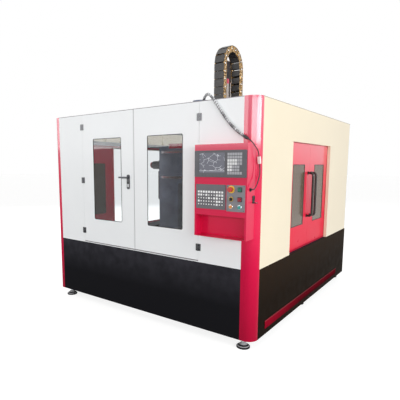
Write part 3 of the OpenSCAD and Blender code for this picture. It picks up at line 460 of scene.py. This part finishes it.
# Painted warm reflection: brown on the flanks.
warm_reflection = add(band_coat, "ShaderNodeMix", {0: band_sheen.outputs[0], 6: linear("#1a130d"), 7: linear("#33281f")},
           data_type="RGBA")
flank = add(band_coat, "ShaderNodeMath", {0: height.outputs["X"]}, operation="ABSOLUTE")
flank = add(band_coat, "ShaderNodeMath", {0: flank.outputs[0], 1: FLANK - 0.004}, operation="GREATER_THAN")
tint = add(band_coat, "ShaderNodeMix", {0: flank.outputs[0], 6: grey.outputs[2], 7: warm_reflection.outputs[2]},
           data_type="RGBA")
dull = add(band_coat, "ShaderNodeMapRange", {"Value": patch.outputs["Fac"], "From Min": 0.3, "From Max": 0.7,
                                             "To Min": 0.42, "To Max": 0.55})
ripple = rippled(band_coat, place, 1000 / 240, 4.0, 0.03)
add(band_coat, shader, {"Base Color": tint.outputs[2], "Roughness": dull.outputs[0],
                        "Specular IOR Level": 0.005, "Normal": ripple})

# Galvanised sheet of the chip pans: grey zinc with the angular spangle of the bath, 25 mm across.
pan_zinc, shader, place = begin("galvanised_sheet")
spangle = add(pan_zinc, "ShaderNodeTexVoronoi", {"Vector": place, "Scale": 1000 / 25})
tint = add(pan_zinc, "ShaderNodeMix",
           {0: spangle.outputs["Color"], 6: linear("#7d8083"), 7: linear("#9da0a3")}, data_type="RGBA")
add(pan_zinc, shader, {"Base Color": tint.outputs[2], "Roughness": 0.42, "Metallic": 0.9})

# Clear polycarbonate of the front windows: colourless, with a faint wiped haze, and an IOR under the
# real sheet's so that it mirrors less.
clear_sheet, shader, place = begin("clear_polycarbonate")
wipe = add(clear_sheet, "ShaderNodeMapping", {"Vector": place, "Scale": (3.0, 3.0, 14.0),
                                              "Rotation": (0.0, math.radians(25), 0.0)})
haze = add(clear_sheet, "ShaderNodeTexNoise", {"Vector": wipe.outputs[0], "Scale": 1.0, "Detail": 4.0})
haze = add(clear_sheet, "ShaderNodeMapRange",
           {"Value": haze.outputs["Fac"], "From Min": 0.45, "From Max": 0.75, "To Min": 0.0, "To Max": 0.05})
add(clear_sheet, shader, {"Base Color": linear("#e2e6e8"), "Roughness": haze.outputs[0],
                          "Transmission Weight": 1.0, "IOR": 1.36})

# Smoked acrylic of the side windows: brown, half see-through, with a soft dusty film.
smoked_sheet, shader, place = begin("smoked_acrylic")
film, tint = mottled(smoked_sheet, place, 9.0, 5.0, "#66523f", "#846f59")
haze = add(smoked_sheet, "ShaderNodeMapRange", {"Value": film, "To Min": 0.08, "To Max": 0.3})
add(smoked_sheet, shader, {"Base Color": tint, "Roughness": haze.outputs[0],
                           "Transmission Weight": 0.45, "IOR": 1.42})

# Rubber of the window seals: matt black, greyed by dust.
rubber, shader, place = begin("black_rubber")
tint = mottled(rubber, place, 70.0, 5.0, "#1d1d1e", "#434345")[1]
add(rubber, shader, {"Base Color": tint, "Roughness": 0.7})

# Panel overlays: screen-printed polyester with a fine matt tooth, dark for the screen unit, a little
# paler for the key panel and mid grey for the button plate.
panel_finishes = []
for name, deep, pale in (
    ("dark_panel_overlay", "#4b4a4f", "#59585d"),
    ("slate_panel_overlay", "#5a585d", "#67656a"),
    ("grey_panel_overlay", "#747479", "#838287"),
):
    overlay, shader, place = begin(name)
    tooth = rippled(overlay, place, 420.0, 2.0, 0.2, 0.0004)
    tint = mottled(overlay, place, 14.0, 4.0, deep, pale)[1]
    add(overlay, shader, {"Base Color": tint, "Roughness": 0.46, "Normal": tooth})
    panel_finishes.append(overlay)

# Screen: glass over a slate picture of a tool path, as the thin edges of cells some 45 mm across with
# blank places between, and one status line near its lower edge.
STATUS_Z = 1.497  # height of the status line, in metres
screen_glass, shader, place = begin("screen_under_glass")
path = add(screen_glass, "ShaderNodeMapping", {"Vector": place, "Scale": (17.0, 1.0, 26.0),
                                               "Rotation": (0.0, math.radians(28), 0.0)})
cells = add(screen_glass, "ShaderNodeTexVoronoi", {"Vector": path.outputs[0], "Scale": 1.0},
            feature="DISTANCE_TO_EDGE")
line = add(screen_glass, "ShaderNodeMath", {0: cells.outputs["Distance"], 1: 0.022}, operation="LESS_THAN")
blank = add(screen_glass, "ShaderNodeTexNoise", {"Vector": path.outputs[0], "Scale": 0.9, "Detail": 1.0})
blank = add(screen_glass, "ShaderNodeMath", {0: blank.outputs["Fac"], 1: 0.47}, operation="GREATER_THAN")
line = add(screen_glass, "ShaderNodeMath", {0: line.outputs[0], 1: blank.outputs[0]}, operation="MULTIPLY")
height = add(screen_glass, "ShaderNodeSeparateXYZ", {0: place})
status = add(screen_glass, "ShaderNodeMath", {0: height.outputs["Z"], 1: STATUS_Z, 2: 0.0016},
             operation="COMPARE")
drawn = add(screen_glass, "ShaderNodeMath", {0: line.outputs[0], 1: status.outputs[0]}, operation="MAXIMUM")
tint = add(screen_glass, "ShaderNodeMix", {0: drawn.outputs[0], 6: linear("#72737e"), 7: linear("#d6d7de")},
           data_type="RGBA")
add(screen_glass, shader, {"Base Color": tint.outputs[2], "Roughness": 0.08})

# Keys: moulded caps. On the operator panel the share of white ones grows with the row, from the
# bottom to all of the top row; the others are dark with a small pale mark. Beside the screen they come
# in blocks of white, pale grey and dark, and the row of soft keys under the screen is dark.
OPERATOR_KEYS, OPERATOR_PITCH = (0.7856, 1.21225), (0.0248, 0.0255)  # lower left corner and pitch, X and Z
SCREEN_KEYS, SCREEN_PITCH = (1.06425, 1.46875), (0.0215, 0.0245)
SCREEN_UNIT_Z = 1.42  # between the two groups of keys
key_caps, shader, place = begin("moulded_key_caps")
spot = add(key_caps, "ShaderNodeSeparateXYZ", {0: place})
columns, rows, marks = [], [], []
for k, (axis, numbers) in enumerate((("X", columns), ("Z", rows))):
    for corner, pitch in ((OPERATOR_KEYS, OPERATOR_PITCH), (SCREEN_KEYS, SCREEN_PITCH)):
        number = add(key_caps, "ShaderNodeMath", {0: spot.outputs[axis], 1: corner[k]}, operation="SUBTRACT")
        number = add(key_caps, "ShaderNodeMath", {0: number.outputs[0], 1: pitch[k]}, operation="DIVIDE")
        numbers.append(add(key_caps, "ShaderNodeMath", {0: number.outputs[0]}, operation="FLOOR").outputs[0])
        part = add(key_caps, "ShaderNodeMath", {0: number.outputs[0]}, operation="FRACT")
        marks.append(add(key_caps, "ShaderNodeMath", {0: part.outputs[0], 1: 0.5, 2: 0.2},
                         operation="COMPARE"))
cap = add(key_caps, "ShaderNodeCombineXYZ", {"X": columns[0], "Y": rows[0]})
chance = add(key_caps, "ShaderNodeTexWhiteNoise", {"Vector": cap.outputs[0]}, noise_dimensions="2D")
bound = add(key_caps, "ShaderNodeMath", {0: rows[0], 1: 0.24, 2: 0.05}, operation="MULTIPLY_ADD")
pick = add(key_caps, "ShaderNodeMath", {0: chance.outputs["Value"], 1: bound.outputs[0]},
           operation="LESS_THAN")
mark = add(key_caps, "ShaderNodeMath", {0: marks[0].outputs[0], 1: marks[2].outputs[0]}, operation="MULTIPLY")
pick = add(key_caps, "ShaderNodeMath", {0: pick.outputs[0], 1: mark.outputs[0]}, operation="MAXIMUM")
operator = add(key_caps, "ShaderNodeMix", {0: pick.outputs[0], 6: linear("#4b4b50"), 7: linear("#f2f2f2")},
               data_type="RGBA")
blocks = linear("#a5a5aa")
for middle_row, reach, operation, edge, tone in (
        (3.5, 0.6, "LESS_THAN", 3.5, "#dcdcdd"), (1.5, 0.6, "LESS_THAN", 1.5, "#dcdcdd"),
        (1.5, 0.6, "GREATER_THAN", 4.5, "#55555b"), (3.0, 9.0, "LESS_THAN", -0.5, "#55555b")):
    across = add(key_caps, "ShaderNodeMath", {0: rows[1], 1: middle_row, 2: reach}, operation="COMPARE")
    along = add(key_caps, "ShaderNodeMath", {0: columns[1], 1: edge}, operation=operation)
    block = add(key_caps, "ShaderNodeMath", {0: across.outputs[0], 1: along.outputs[0]}, operation="MULTIPLY")
    blocks = add(key_caps, "ShaderNodeMix", {0: block.outputs[0], 6: blocks, 7: linear(tone)},
                 data_type="RGBA").outputs[2]
beside = add(key_caps, "ShaderNodeMath", {0: spot.outputs["Z"], 1: SCREEN_UNIT_Z}, operation="GREATER_THAN")
tint = add(key_caps, "ShaderNodeMix", {0: beside.outputs[0], 6: operator.outputs[2], 7: blocks},
           data_type="RGBA")
add(key_caps, shader, {"Base Color": tint.outputs[2], "Roughness": 0.4})

# Motors: black enamel on ribbed castings, with a red cap on the end of the beam's own motor.
CAP_X = -1.044  # the cap lies beyond this
motor_coat, shader, place = begin("black_motor_enamel")
spot = add(motor_coat, "ShaderNodeSeparateXYZ", {0: place})
cap = add(motor_coat, "ShaderNodeMath", {0: spot.outputs["X"], 1: CAP_X}, operation="LESS_THAN")
rub, dark = mottled(motor_coat, place, 40.0, 4.0, "#17181b", "#2b2d31")
tint = add(motor_coat, "ShaderNodeMix", {0: cap.outputs[0], 6: dark, 7: linear("#b4162f")}, data_type="RGBA")
bump = add(motor_coat, "ShaderNodeBump", {"Height": rub, "Strength": 0.2, "Distance": 0.001})
add(motor_coat, shader, {"Base Color": tint.outputs[2], "Roughness": 0.4, "Normal": bump.outputs[0]})

# Saddle: the casting's slate enamel. In the chain's loop its round post is pale grey with a red top
# and its thin rod is pale too; the wall beside the chain stays slate.
ARM_TOP, POST_TIP_Z = 1.876, 2.486  # just over the arm, and where the red top starts
POST_X = 0.215  # between the wall beside the chain and the post
saddle_coat, shader, place = begin("slate_saddle_enamel")
spot = add(saddle_coat, "ShaderNodeSeparateXYZ", {0: place})
lump, slate = mottled(saddle_coat, place, 1000 / 70, 4.0, "#302e30", "#454248")
above = add(saddle_coat, "ShaderNodeMath", {0: spot.outputs["Z"], 1: ARM_TOP}, operation="GREATER_THAN")
inside = add(saddle_coat, "ShaderNodeMath", {0: spot.outputs["X"], 1: POST_X}, operation="GREATER_THAN")
post = add(saddle_coat, "ShaderNodeMath", {0: above.outputs[0], 1: inside.outputs[0]}, operation="MULTIPLY")
tip = add(saddle_coat, "ShaderNodeMath", {0: spot.outputs["Z"], 1: POST_TIP_Z}, operation="GREATER_THAN")
tip = add(saddle_coat, "ShaderNodeMath", {0: tip.outputs[0], 1: inside.outputs[0]}, operation="MULTIPLY")
tint = add(saddle_coat, "ShaderNodeMix", {0: post.outputs[0], 6: slate, 7: linear("#a9a19c")},
           data_type="RGBA")
tint = add(saddle_coat, "ShaderNodeMix", {0: tip.outputs[0], 6: tint.outputs[2], 7: linear("#c0405a")},
           data_type="RGBA")
bump = add(saddle_coat, "ShaderNodeBump", {"Height": lump, "Strength": 0.35, "Distance": 0.002})
add(saddle_coat, shader, {"Base Color": tint.outputs[2], "Roughness": 0.38, "Normal": bump.outputs[0]})

# Chain covers: dark grey coated steel strip, rubbed paler in short streaks along the links.
cover_coat, shader, place = begin("grey_chain_cover")
stretch = add(cover_coat, "ShaderNodeMapping", {"Vector": place, "Scale": (60.0, 14.0, 14.0)})
tint = mottled(cover_coat, stretch.outputs[0], 1.0, 5.0, "#2c2b2b", "#4d4b4a")[1]
add(cover_coat, shader, {"Base Color": tint, "Roughness": 0.45, "Metallic": 0.15})

# Yellow chromate on the chain's side plates: a thin brassy film on zinc that breaks into gold, brown
# and near white patches about 17 mm across.
chromate, shader, place = begin("yellow_chromate_steel")
drift = add(chromate, "ShaderNodeTexNoise", {"Vector": place, "Scale": 1000 / 17, "Detail": 3.0})
gold = add(chromate, "ShaderNodeMapRange", {"Value": drift.outputs["Fac"], "From Min": 0.4, "From Max": 0.57})
white = add(chromate, "ShaderNodeMapRange",
            {"Value": drift.outputs["Fac"], "From Min": 0.57, "From Max": 0.68})
tint = add(chromate, "ShaderNodeMix", {0: gold.outputs[0], 6: linear("#4a301c"), 7: linear("#c9a468")},
           data_type="RGBA")
tint = add(chromate, "ShaderNodeMix", {0: white.outputs[0], 6: tint.outputs[2], 7: linear("#f0dcc0")},
           data_type="RGBA")
add(chromate, shader, {"Base Color": tint.outputs[2], "Roughness": 0.42, "Metallic": 0.85})

# Plated, ground and cast metals, each with the grain of its own working, in cycles to the metre.
zinc_plate = worked_metal("bright_zinc_plate", "#b3b6bb", "#d6d8dc", 0.24, (60.0, 60.0, 300.0))
ground_steel = worked_metal("ground_guide_steel", "#9a9ca1", "#c3c5c9", 0.22, (8.0, 300.0, 300.0))
table_iron = worked_metal("planed_table_iron", "#77797d", "#94969a", 0.36, (260.0, 6.0, 260.0), 0.12)
turned_steel = worked_metal("turned_spindle_steel", "#a5a7ab", "#cfd1d4", 0.2, (20.0, 20.0, 900.0))
cast_lever = worked_metal("grey_cast_lever", "#4a4b4f", "#6b6c70", 0.36, (90.0, 90.0, 90.0))
bezel_chrome = worked_metal("chromed_bezel", "#b9bcc1", "#d9dbde", 0.16, (200.0, 200.0, 200.0))
key_brass = worked_metal("brass_switch_ring", "#a98a3c", "#d0b160", 0.3, (200.0, 200.0, 200.0))

# Lever plate: dark cast zinc, with a black keyhole 52 mm under the lever and, under that, a bright
# worn patch 22 mm wide.
LEVER_Z = 1.421  # height of the lever's axis, in metres
plate_zinc, shader, place = begin("dark_zinc_lever_plate")
plate_low, plate_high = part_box("lever_plate")
spot = add(plate_zinc, "ShaderNodeSeparateXYZ", {0: place})
plate_x = (plate_low.x + plate_high.x) / 2
across = add(plate_zinc, "ShaderNodeMath", {0: spot.outputs["X"], 1: plate_x, 2: 0.011}, operation="COMPARE")
tint = mottled(plate_zinc, place, 120.0, 3.0, "#3c3c40", "#56565a")[1]
for under, reach, tone in ((0.052, 0.010, "#121213"), (0.079, 0.015, "#cfd0d2")):
    down = add(plate_zinc, "ShaderNodeMath", {0: spot.outputs["Z"], 1: LEVER_Z - under, 2: reach},
               operation="COMPARE")
    patch = add(plate_zinc, "ShaderNodeMath", {0: across.outputs[0], 1: down.outputs[0]},
                operation="MULTIPLY")
    tint = add(plate_zinc, "ShaderNodeMix", {0: patch.outputs[0], 6: tint, 7: linear(tone)},
               data_type="RGBA").outputs[2]
add(plate_zinc, shader, {"Base Color": tint, "Roughness": 0.34})

# Push buttons and the plug: coloured plastic with the gloss of the mould, dulled by fingers.
stop_red = moulded("red_button_plastic", "#b2302c", "#c4423a")
off_red = moulded("dark_red_button_plastic", "#7d1423", "#97202f")
push_green = moulded("green_button_plastic", "#145a45", "#1f7558")
push_orange = moulded("orange_button_plastic", "#d9863f", "#eba25c")
push_teal = moulded("teal_button_plastic", "#27827d", "#3aa39c")
collar_yellow = moulded("yellow_collar_plastic", "#e0a92c", "#f0c04a")
switch_black = moulded("black_switch_plastic", "#151517", "#27272a", 0.4)
plug_white = moulded("white_nylon_plug", "#e2e0da", "#f1efea", 0.45)

finishes = {
    crimson_gloss: ["corner_posts", "control_box"],
    leaf_gloss_warm_lit: ["right_front_leaf", "right_rear_leaf", "left_front_leaf", "left_rear_leaf"],
    crimson_satin: ["door_tracks", "beam_cover"],
    kick_coat: ["side_trims"],
    white_coat: ["front_surround", "left_door", "right_door", "rear_panels"],
    cream_coat: ["side_panels"],
    band_coat: ["lower_skirts"],
    frame_coat: ["enclosure_frame"],
    zinc_plate: ["foot_studs"],
    foot_coat: ["foot_pads"],
    hinge_coat: ["hinge_bases", "left_hinge_halves", "right_hinge_halves"],
    pan_zinc: ["chip_pans"],
    clear_sheet: ["left_window", "right_window"],
    smoked_sheet: ["right_front_pane", "right_rear_pane", "left_front_pane", "left_rear_pane"],
    handle_coat: ["right_front_handle", "right_rear_handle", "left_front_handle", "left_rear_handle"],
    cast_lever: ["door_lever"],
    plate_zinc: ["lever_plate"],
    panel_finishes[0]: ["cnc_panel"],
    panel_finishes[1]: ["key_panel"],
    panel_finishes[2]: ["button_plate"],
    screen_glass: ["cnc_screen"],
    key_caps: ["panel_keys"],
    stop_red: ["stop_button"],
    off_red: ["power_off_button"],
    push_green: ["power_on_button"],
    push_orange: ["hold_button"],
    push_teal: ["start_button"],
    switch_black: ["key_switch", "cable_sockets"],
    plug_white: ["lead_connector"],
    casting_coat: ["machine_bed", "columns", "crossbeam", "ram"],
    ground_steel: ["guide_rails"],
    table_iron: ["work_table"],
    motor_coat: ["axis_motors", "z_motor"],
    saddle_coat: ["saddle"],
    turned_steel: ["spindle"],
}
for finish, names in finishes.items():
    for name in names:
        nodes[name].data.materials.clear()
        nodes[name].data.materials.append(finish)

# Chain: the solid's own shape, merged, with its covers grey and its side plates in chromate.
links_mesh = nodes["drag_chain"].data.copy()
links_mesh.name = "chain_links"
shape = bmesh.new()
shape.from_mesh(links_mesh)
bmesh.ops.remove_doubles(shape, verts=shape.verts, dist=1e-6)
shape.to_mesh(links_mesh)
shape.free()
CHAIN_X = 0.281
PLATE_IN, PLATE_OUT = 0.0515, 0.0604  # half the width between the side plates, inside and outside
PIN_FACE = 0.06  # half the width over the wider side plates, where the rivets sit
middles = np.zeros(len(links_mesh.polygons) * 3)
links_mesh.polygons.foreach_get("center", middles)
aside = np.abs(middles.reshape(-1, 3)[:, 0] - CHAIN_X)
on_plate = ((aside > PLATE_IN) & (aside < PLATE_OUT)).astype(np.int32)
links_mesh.materials.clear()
links_mesh.materials.append(cover_coat)
links_mesh.materials.append(chromate)
links_mesh.polygons.foreach_set("material_index", on_plate)
links_mesh.polygons.foreach_set("use_smooth", np.ones(len(links_mesh.polygons), bool))
links_mesh.set_sharp_from_angle(angle=math.radians(30))
links = bpy.data.objects.new("chain_links", links_mesh)
scene.collection.objects.link(links)
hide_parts("drag_chain")


def turned(profile, spots, facing, around, square=0.0):
    """A profile in millimetres turned about the facing direction at each spot: distance from the
    axis, times the power curve (|cos v|^n + |sin v|^n)^(-1/n) where square gives n, and height."""
    facing = np.array(facing, float)
    level = np.array((0.0, 0.0, 1.0)) if abs(facing[2]) < 0.9 else np.array((0.0, 1.0, 0.0))
    u = np.cross(level, facing)
    w = np.cross(facing, u)
    v = np.linspace(0, 2 * np.pi, around + 1)
    reach = np.ones_like(v)
    if square:
        reach = (np.abs(np.cos(v)) ** square + np.abs(np.sin(v)) ** square) ** (-1 / square)
    ring = reach[:, None] * (np.cos(v)[:, None] * u + np.sin(v)[:, None] * w)
    away, high = np.array(profile, float).T / 1000
    grid = away[:, None, None] * ring[None] + high[:, None, None] * facing
    return np.asarray(spots, float).reshape(-1, 1, 1, 3) + grid[None]


# Chain pins: domed rivets on both faces of the loop, at each pin of the links. The pins go up the
# front leg, round half a circle of seven steps, and down the rear leg, 84 mm apart.
PIN_STEP, ARC_STEPS = 0.084, 7
FRONT_PINS, REAR_PINS = 14, 10
loop_y, loop_z = -0.059, 2.66  # centre of the half circle
loop_r = PIN_STEP / (2 * math.sin(math.pi / 2 / ARC_STEPS))
half_turn = np.pi * (1 - np.arange(1, ARC_STEPS) / ARC_STEPS)
front_z = loop_z - PIN_STEP * np.arange(FRONT_PINS - 1, -1, -1)
rear_z = loop_z - PIN_STEP * np.arange(REAR_PINS)
pin_y = np.concatenate([np.full(FRONT_PINS, loop_y - loop_r), loop_y + loop_r * np.cos(half_turn),
                        np.full(REAR_PINS, loop_y + loop_r)])
pin_z = np.concatenate([front_z, loop_z + loop_r * np.sin(half_turn), rear_z])
rivet = [(0, 4.2), (4, 3.9), (7.5, 2.8), (9.5, 0.8), (9.8, -0.6), (0, -0.6)]
sides = []
for face in (-1.0, 1.0):
    spots = np.stack([np.full(len(pin_y), CHAIN_X + face * PIN_FACE), pin_y, pin_z], -1)
    sides.append(turned(rivet, spots, (face, 0, 0), 12))
pins = surface("chain_pins", np.concatenate(sides), zinc_plate, None)
for piece in (links, pins):
    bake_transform(piece)

# Rings round the buttons on the plate: a yellow collar under the stop button, brass round the key
# switch, chrome round the two round buttons, black square frames round the two power buttons.
plate_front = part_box("button_plate")[0].y


def on_plate_at(name):
    """Point on the plate's face in front of a button's axis: the middle of its box in X and Z."""
    low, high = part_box(name)
    return ((low.x + high.x) / 2, plate_front, (low.z + high.z) / 2)


OUT = (0.0, -1.0, 0.0)
collar = [(15, -0.5), (15, 2.4), (16, 3), (27.5, 3), (29.5, 2), (30, -0.5), (15, -0.5)]
bezel = [(13.9, -0.5), (13.9, 5.2), (14.6, 6), (16.4, 5.6), (18.4, 3), (18.6, -0.5), (13.9, -0.5)]
switch_ring = [(14.8, -0.5), (14.8, 4.4), (15.6, 5), (18, 4.6), (19.4, 2.5), (19.5, -0.5), (14.8, -0.5)]
square_frame = [(14.9, -0.5), (14.9, 4.6), (15.4, 5.2), (17.8, 5), (18.6, 4), (18.7, -0.5), (14.9, -0.5)]
rings = (
    ("stop_collar", collar, ["stop_button"], collar_yellow, "button_orange", 40, 0.0),
    ("switch_ring", switch_ring, ["key_switch"], key_brass, "lever_metal", 32, 0.0),
    ("round_bezels", bezel, ["hold_button", "start_button"], bezel_chrome, "steel_zinc", 32, 0.0),
    ("square_bezels", square_frame, ["power_on_button", "power_off_button"], switch_black, "switch_black",
     48, 9.0),
)
for name, profile, buttons, finish, slot, around, square in rings:
    grid = turned(profile, [on_plate_at(b) for b in buttons], OUT, around, square)
    surface(name, grid, finish, "frame")

# Socket screws, with a hexagon-sized recess in a domed head, at the corners of the panels.
SCREW = [(0, 0.7), (1.5, 0.7), (1.7, 1.9), (2.9, 1.7), (3.7, 0.9), (3.9, -0.4), (0, -0.4)]
corners = []
for name, inset in (("cnc_panel", 0.009), ("key_panel", 0.008), ("button_plate", 0.009)):
    low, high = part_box(name)
    for x in (low.x + inset, high.x - inset):
        for z in (low.z + inset, high.z - inset):
            corners.append((x, low.y, z))
surface("panel_screws", turned(SCREW, corners, OUT, 12), cast_lever, "frame")


def edged(centre, across, up, outward, width, height, corner, section):
    """A section carried round a rounded rectangle: four quarter circles of the corner radius about
    the inset corners, each joined to the next; the section's first number, in millimetres, goes
    outward in the sheet's plane and its second along the sheet's normal."""
    turn = np.radians(np.arange(4)[:, None] * 90 + np.linspace(0, 90, 7)[None])
    away = np.stack([np.cos(turn), np.sin(turn)], -1)
    quarter = np.array([[1, 1], [-1, 1], [-1, -1], [1, -1]]) * (width / 2 - corner, height / 2 - corner)
    line = (quarter[:, None] + corner * away).reshape(-1, 2)
    away = away.reshape(-1, 2)
    line, away = np.vstack([line, line[:1]]), np.vstack([away, away[:1]])
    reach, proud = np.array(section, float).T / 1000
    flat = line[:, None] + away[:, None] * reach[None, :, None]
    grid = flat[..., :1] * np.array(across, float) + flat[..., 1:] * np.array(up, float)
    return np.array(centre) + grid + proud[None, :, None] * np.array(outward, float)


# Seals: a rubber lip carried round each window's edge, of the opening's width and height and with its
# own corner radius, in metres.
DOOR_WINDOW, SIDE_WINDOW = (0.41, 0.85, 0.012), (0.324, 0.61, 0.004)
LIP = [(-2.2, -1.8), (-2.2, 1.0), (-1.4, 1.8), (2.6, 1.8), (3.6, 1.0), (3.6, 0.1), (-0.3, 0.1), (-0.3, -1.8),
       (-2.2, -1.8)]
for side in ("left", "right"):
    low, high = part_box(side + "_window")
    centre = ((low.x + high.x) / 2, FRONT, (low.z + high.z) / 2)
    lip = edged(centre, (1, 0, 0), (0, 0, 1), OUT, *DOOR_WINDOW, LIP)
    surface(side + "_window_seal", lip, rubber, side + "_door")
for side, out in (("left", -1.0), ("right", 1.0)):
    for end in ("front", "rear"):
        low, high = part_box(f"{side}_{end}_pane")
        leaf_low, leaf_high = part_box(f"{side}_{end}_leaf")
        face = leaf_high.x if out > 0 else leaf_low.x
        centre = (face, (low.y + high.y) / 2, (low.z + high.z) / 2)
        lip = edged(centre, (0, 1, 0), (0, 0, 1), (out, 0, 0), *SIDE_WINDOW, LIP)
        surface(f"{side}_{end}_pane_seal", lip, rubber, f"{side}_{end}_slide")


def studio_rays(stage):
    """1 on the rays that see the studio near white: the camera's, and those off gloss or through glass."""
    ray = add(stage, "ShaderNodeLightPath")
    seen = add(stage, "ShaderNodeMath", {0: ray.outputs["Is Camera Ray"], 1: ray.outputs["Is Glossy Ray"]},
               operation="MAXIMUM")
    seen = add(stage, "ShaderNodeMath", {0: seen.outputs[0], 1: ray.outputs["Is Transmission Ray"]},
               operation="MAXIMUM")
    return seen.outputs[0]


# Floor: a plain pale sheet under the feet.
FLOOR_REACH = 60  # from the middle to each side, in metres
floor_finish, shader, _ = begin("pale_floor")
glow = add(floor_finish, "ShaderNodeMath", {0: studio_rays(floor_finish), 1: 0.8}, operation="MULTIPLY")
add(floor_finish, shader, {"Base Color": linear("#a2a2a1"), "Roughness": 0.9,
                           "Emission Color": (1.0, 1.0, 1.0, 1.0), "Emission Strength": glow.outputs[0]})
floor_mesh = bpy.data.meshes.new("floor")
floor_corners = [(x * FLOOR_REACH, y * FLOOR_REACH, 0) for x, y in ((-1, -1), (1, -1), (1, 1), (-1, 1))]
floor_mesh.from_pydata(floor_corners, [], [(0, 1, 2, 3)])
floor_mesh.materials.append(floor_finish)
floor = bpy.data.objects.new("floor", floor_mesh)
scene.collection.objects.link(floor)
floor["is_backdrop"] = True

# Light: an even pale sky and five wide soft lamps. Those off the right side and off the right front
# corner stand level, their lower edges over head height, and shine down the top of the post. The
# one far left of the front shows in the tops of the front windows and of the left post. The top
# one makes the light fade downward. The rear one lights the back and the left side, its lower edge
# too high to show through the windows.
sky = bpy.data.worlds.new("studio_sky")
scene.world = sky
sky.use_nodes = True
level = add(sky, "ShaderNodeMapRange", {"Value": studio_rays(sky), "To Min": 0.29, "To Max": 1.0})
add(sky, sky.node_tree.nodes["Background"], {"Color": (1.0, 1.0, 1.0, 1.0), "Strength": level.outputs[0]})
for name, spot, aim, wide, high, power in (
    ("right_softbox", (9.2, -1.6, 2.8), (0.0, -1.6, 2.8), 7.6, 1.3, 515.0),
    ("corner_softbox", (8.2, -10.9, 3.25), (1.2, -1.2, 3.25), 10.7, 1.75, 600.0),
    ("front_softbox", (-5.9, -7.4, 2.75), (-5.9, 0.0, 2.75), 10.0, 1.34, 180.0),
    ("top_softbox", (0.8, -2.4, 5.4), (0.8, -2.39, 0.0), 7.0, 6.0, 85.0),
    ("rear_softbox", (-7.5, 6.0, 4.6), (0.0, 0.0, 1.6), 5.0, 3.0, 620.0),
):
    lamp = bpy.data.lights.new(name, "AREA")
    lamp.shape = "RECTANGLE"
    lamp.size, lamp.size_y = wide, high
    lamp.energy = power
    holder = bpy.data.objects.new(name, lamp)
    holder.location = spot
    holder.rotation_euler = (Vector(aim) - Vector(spot)).to_track_quat("-Z", "Y").to_euler()
    scene.collection.objects.link(holder)

low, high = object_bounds()
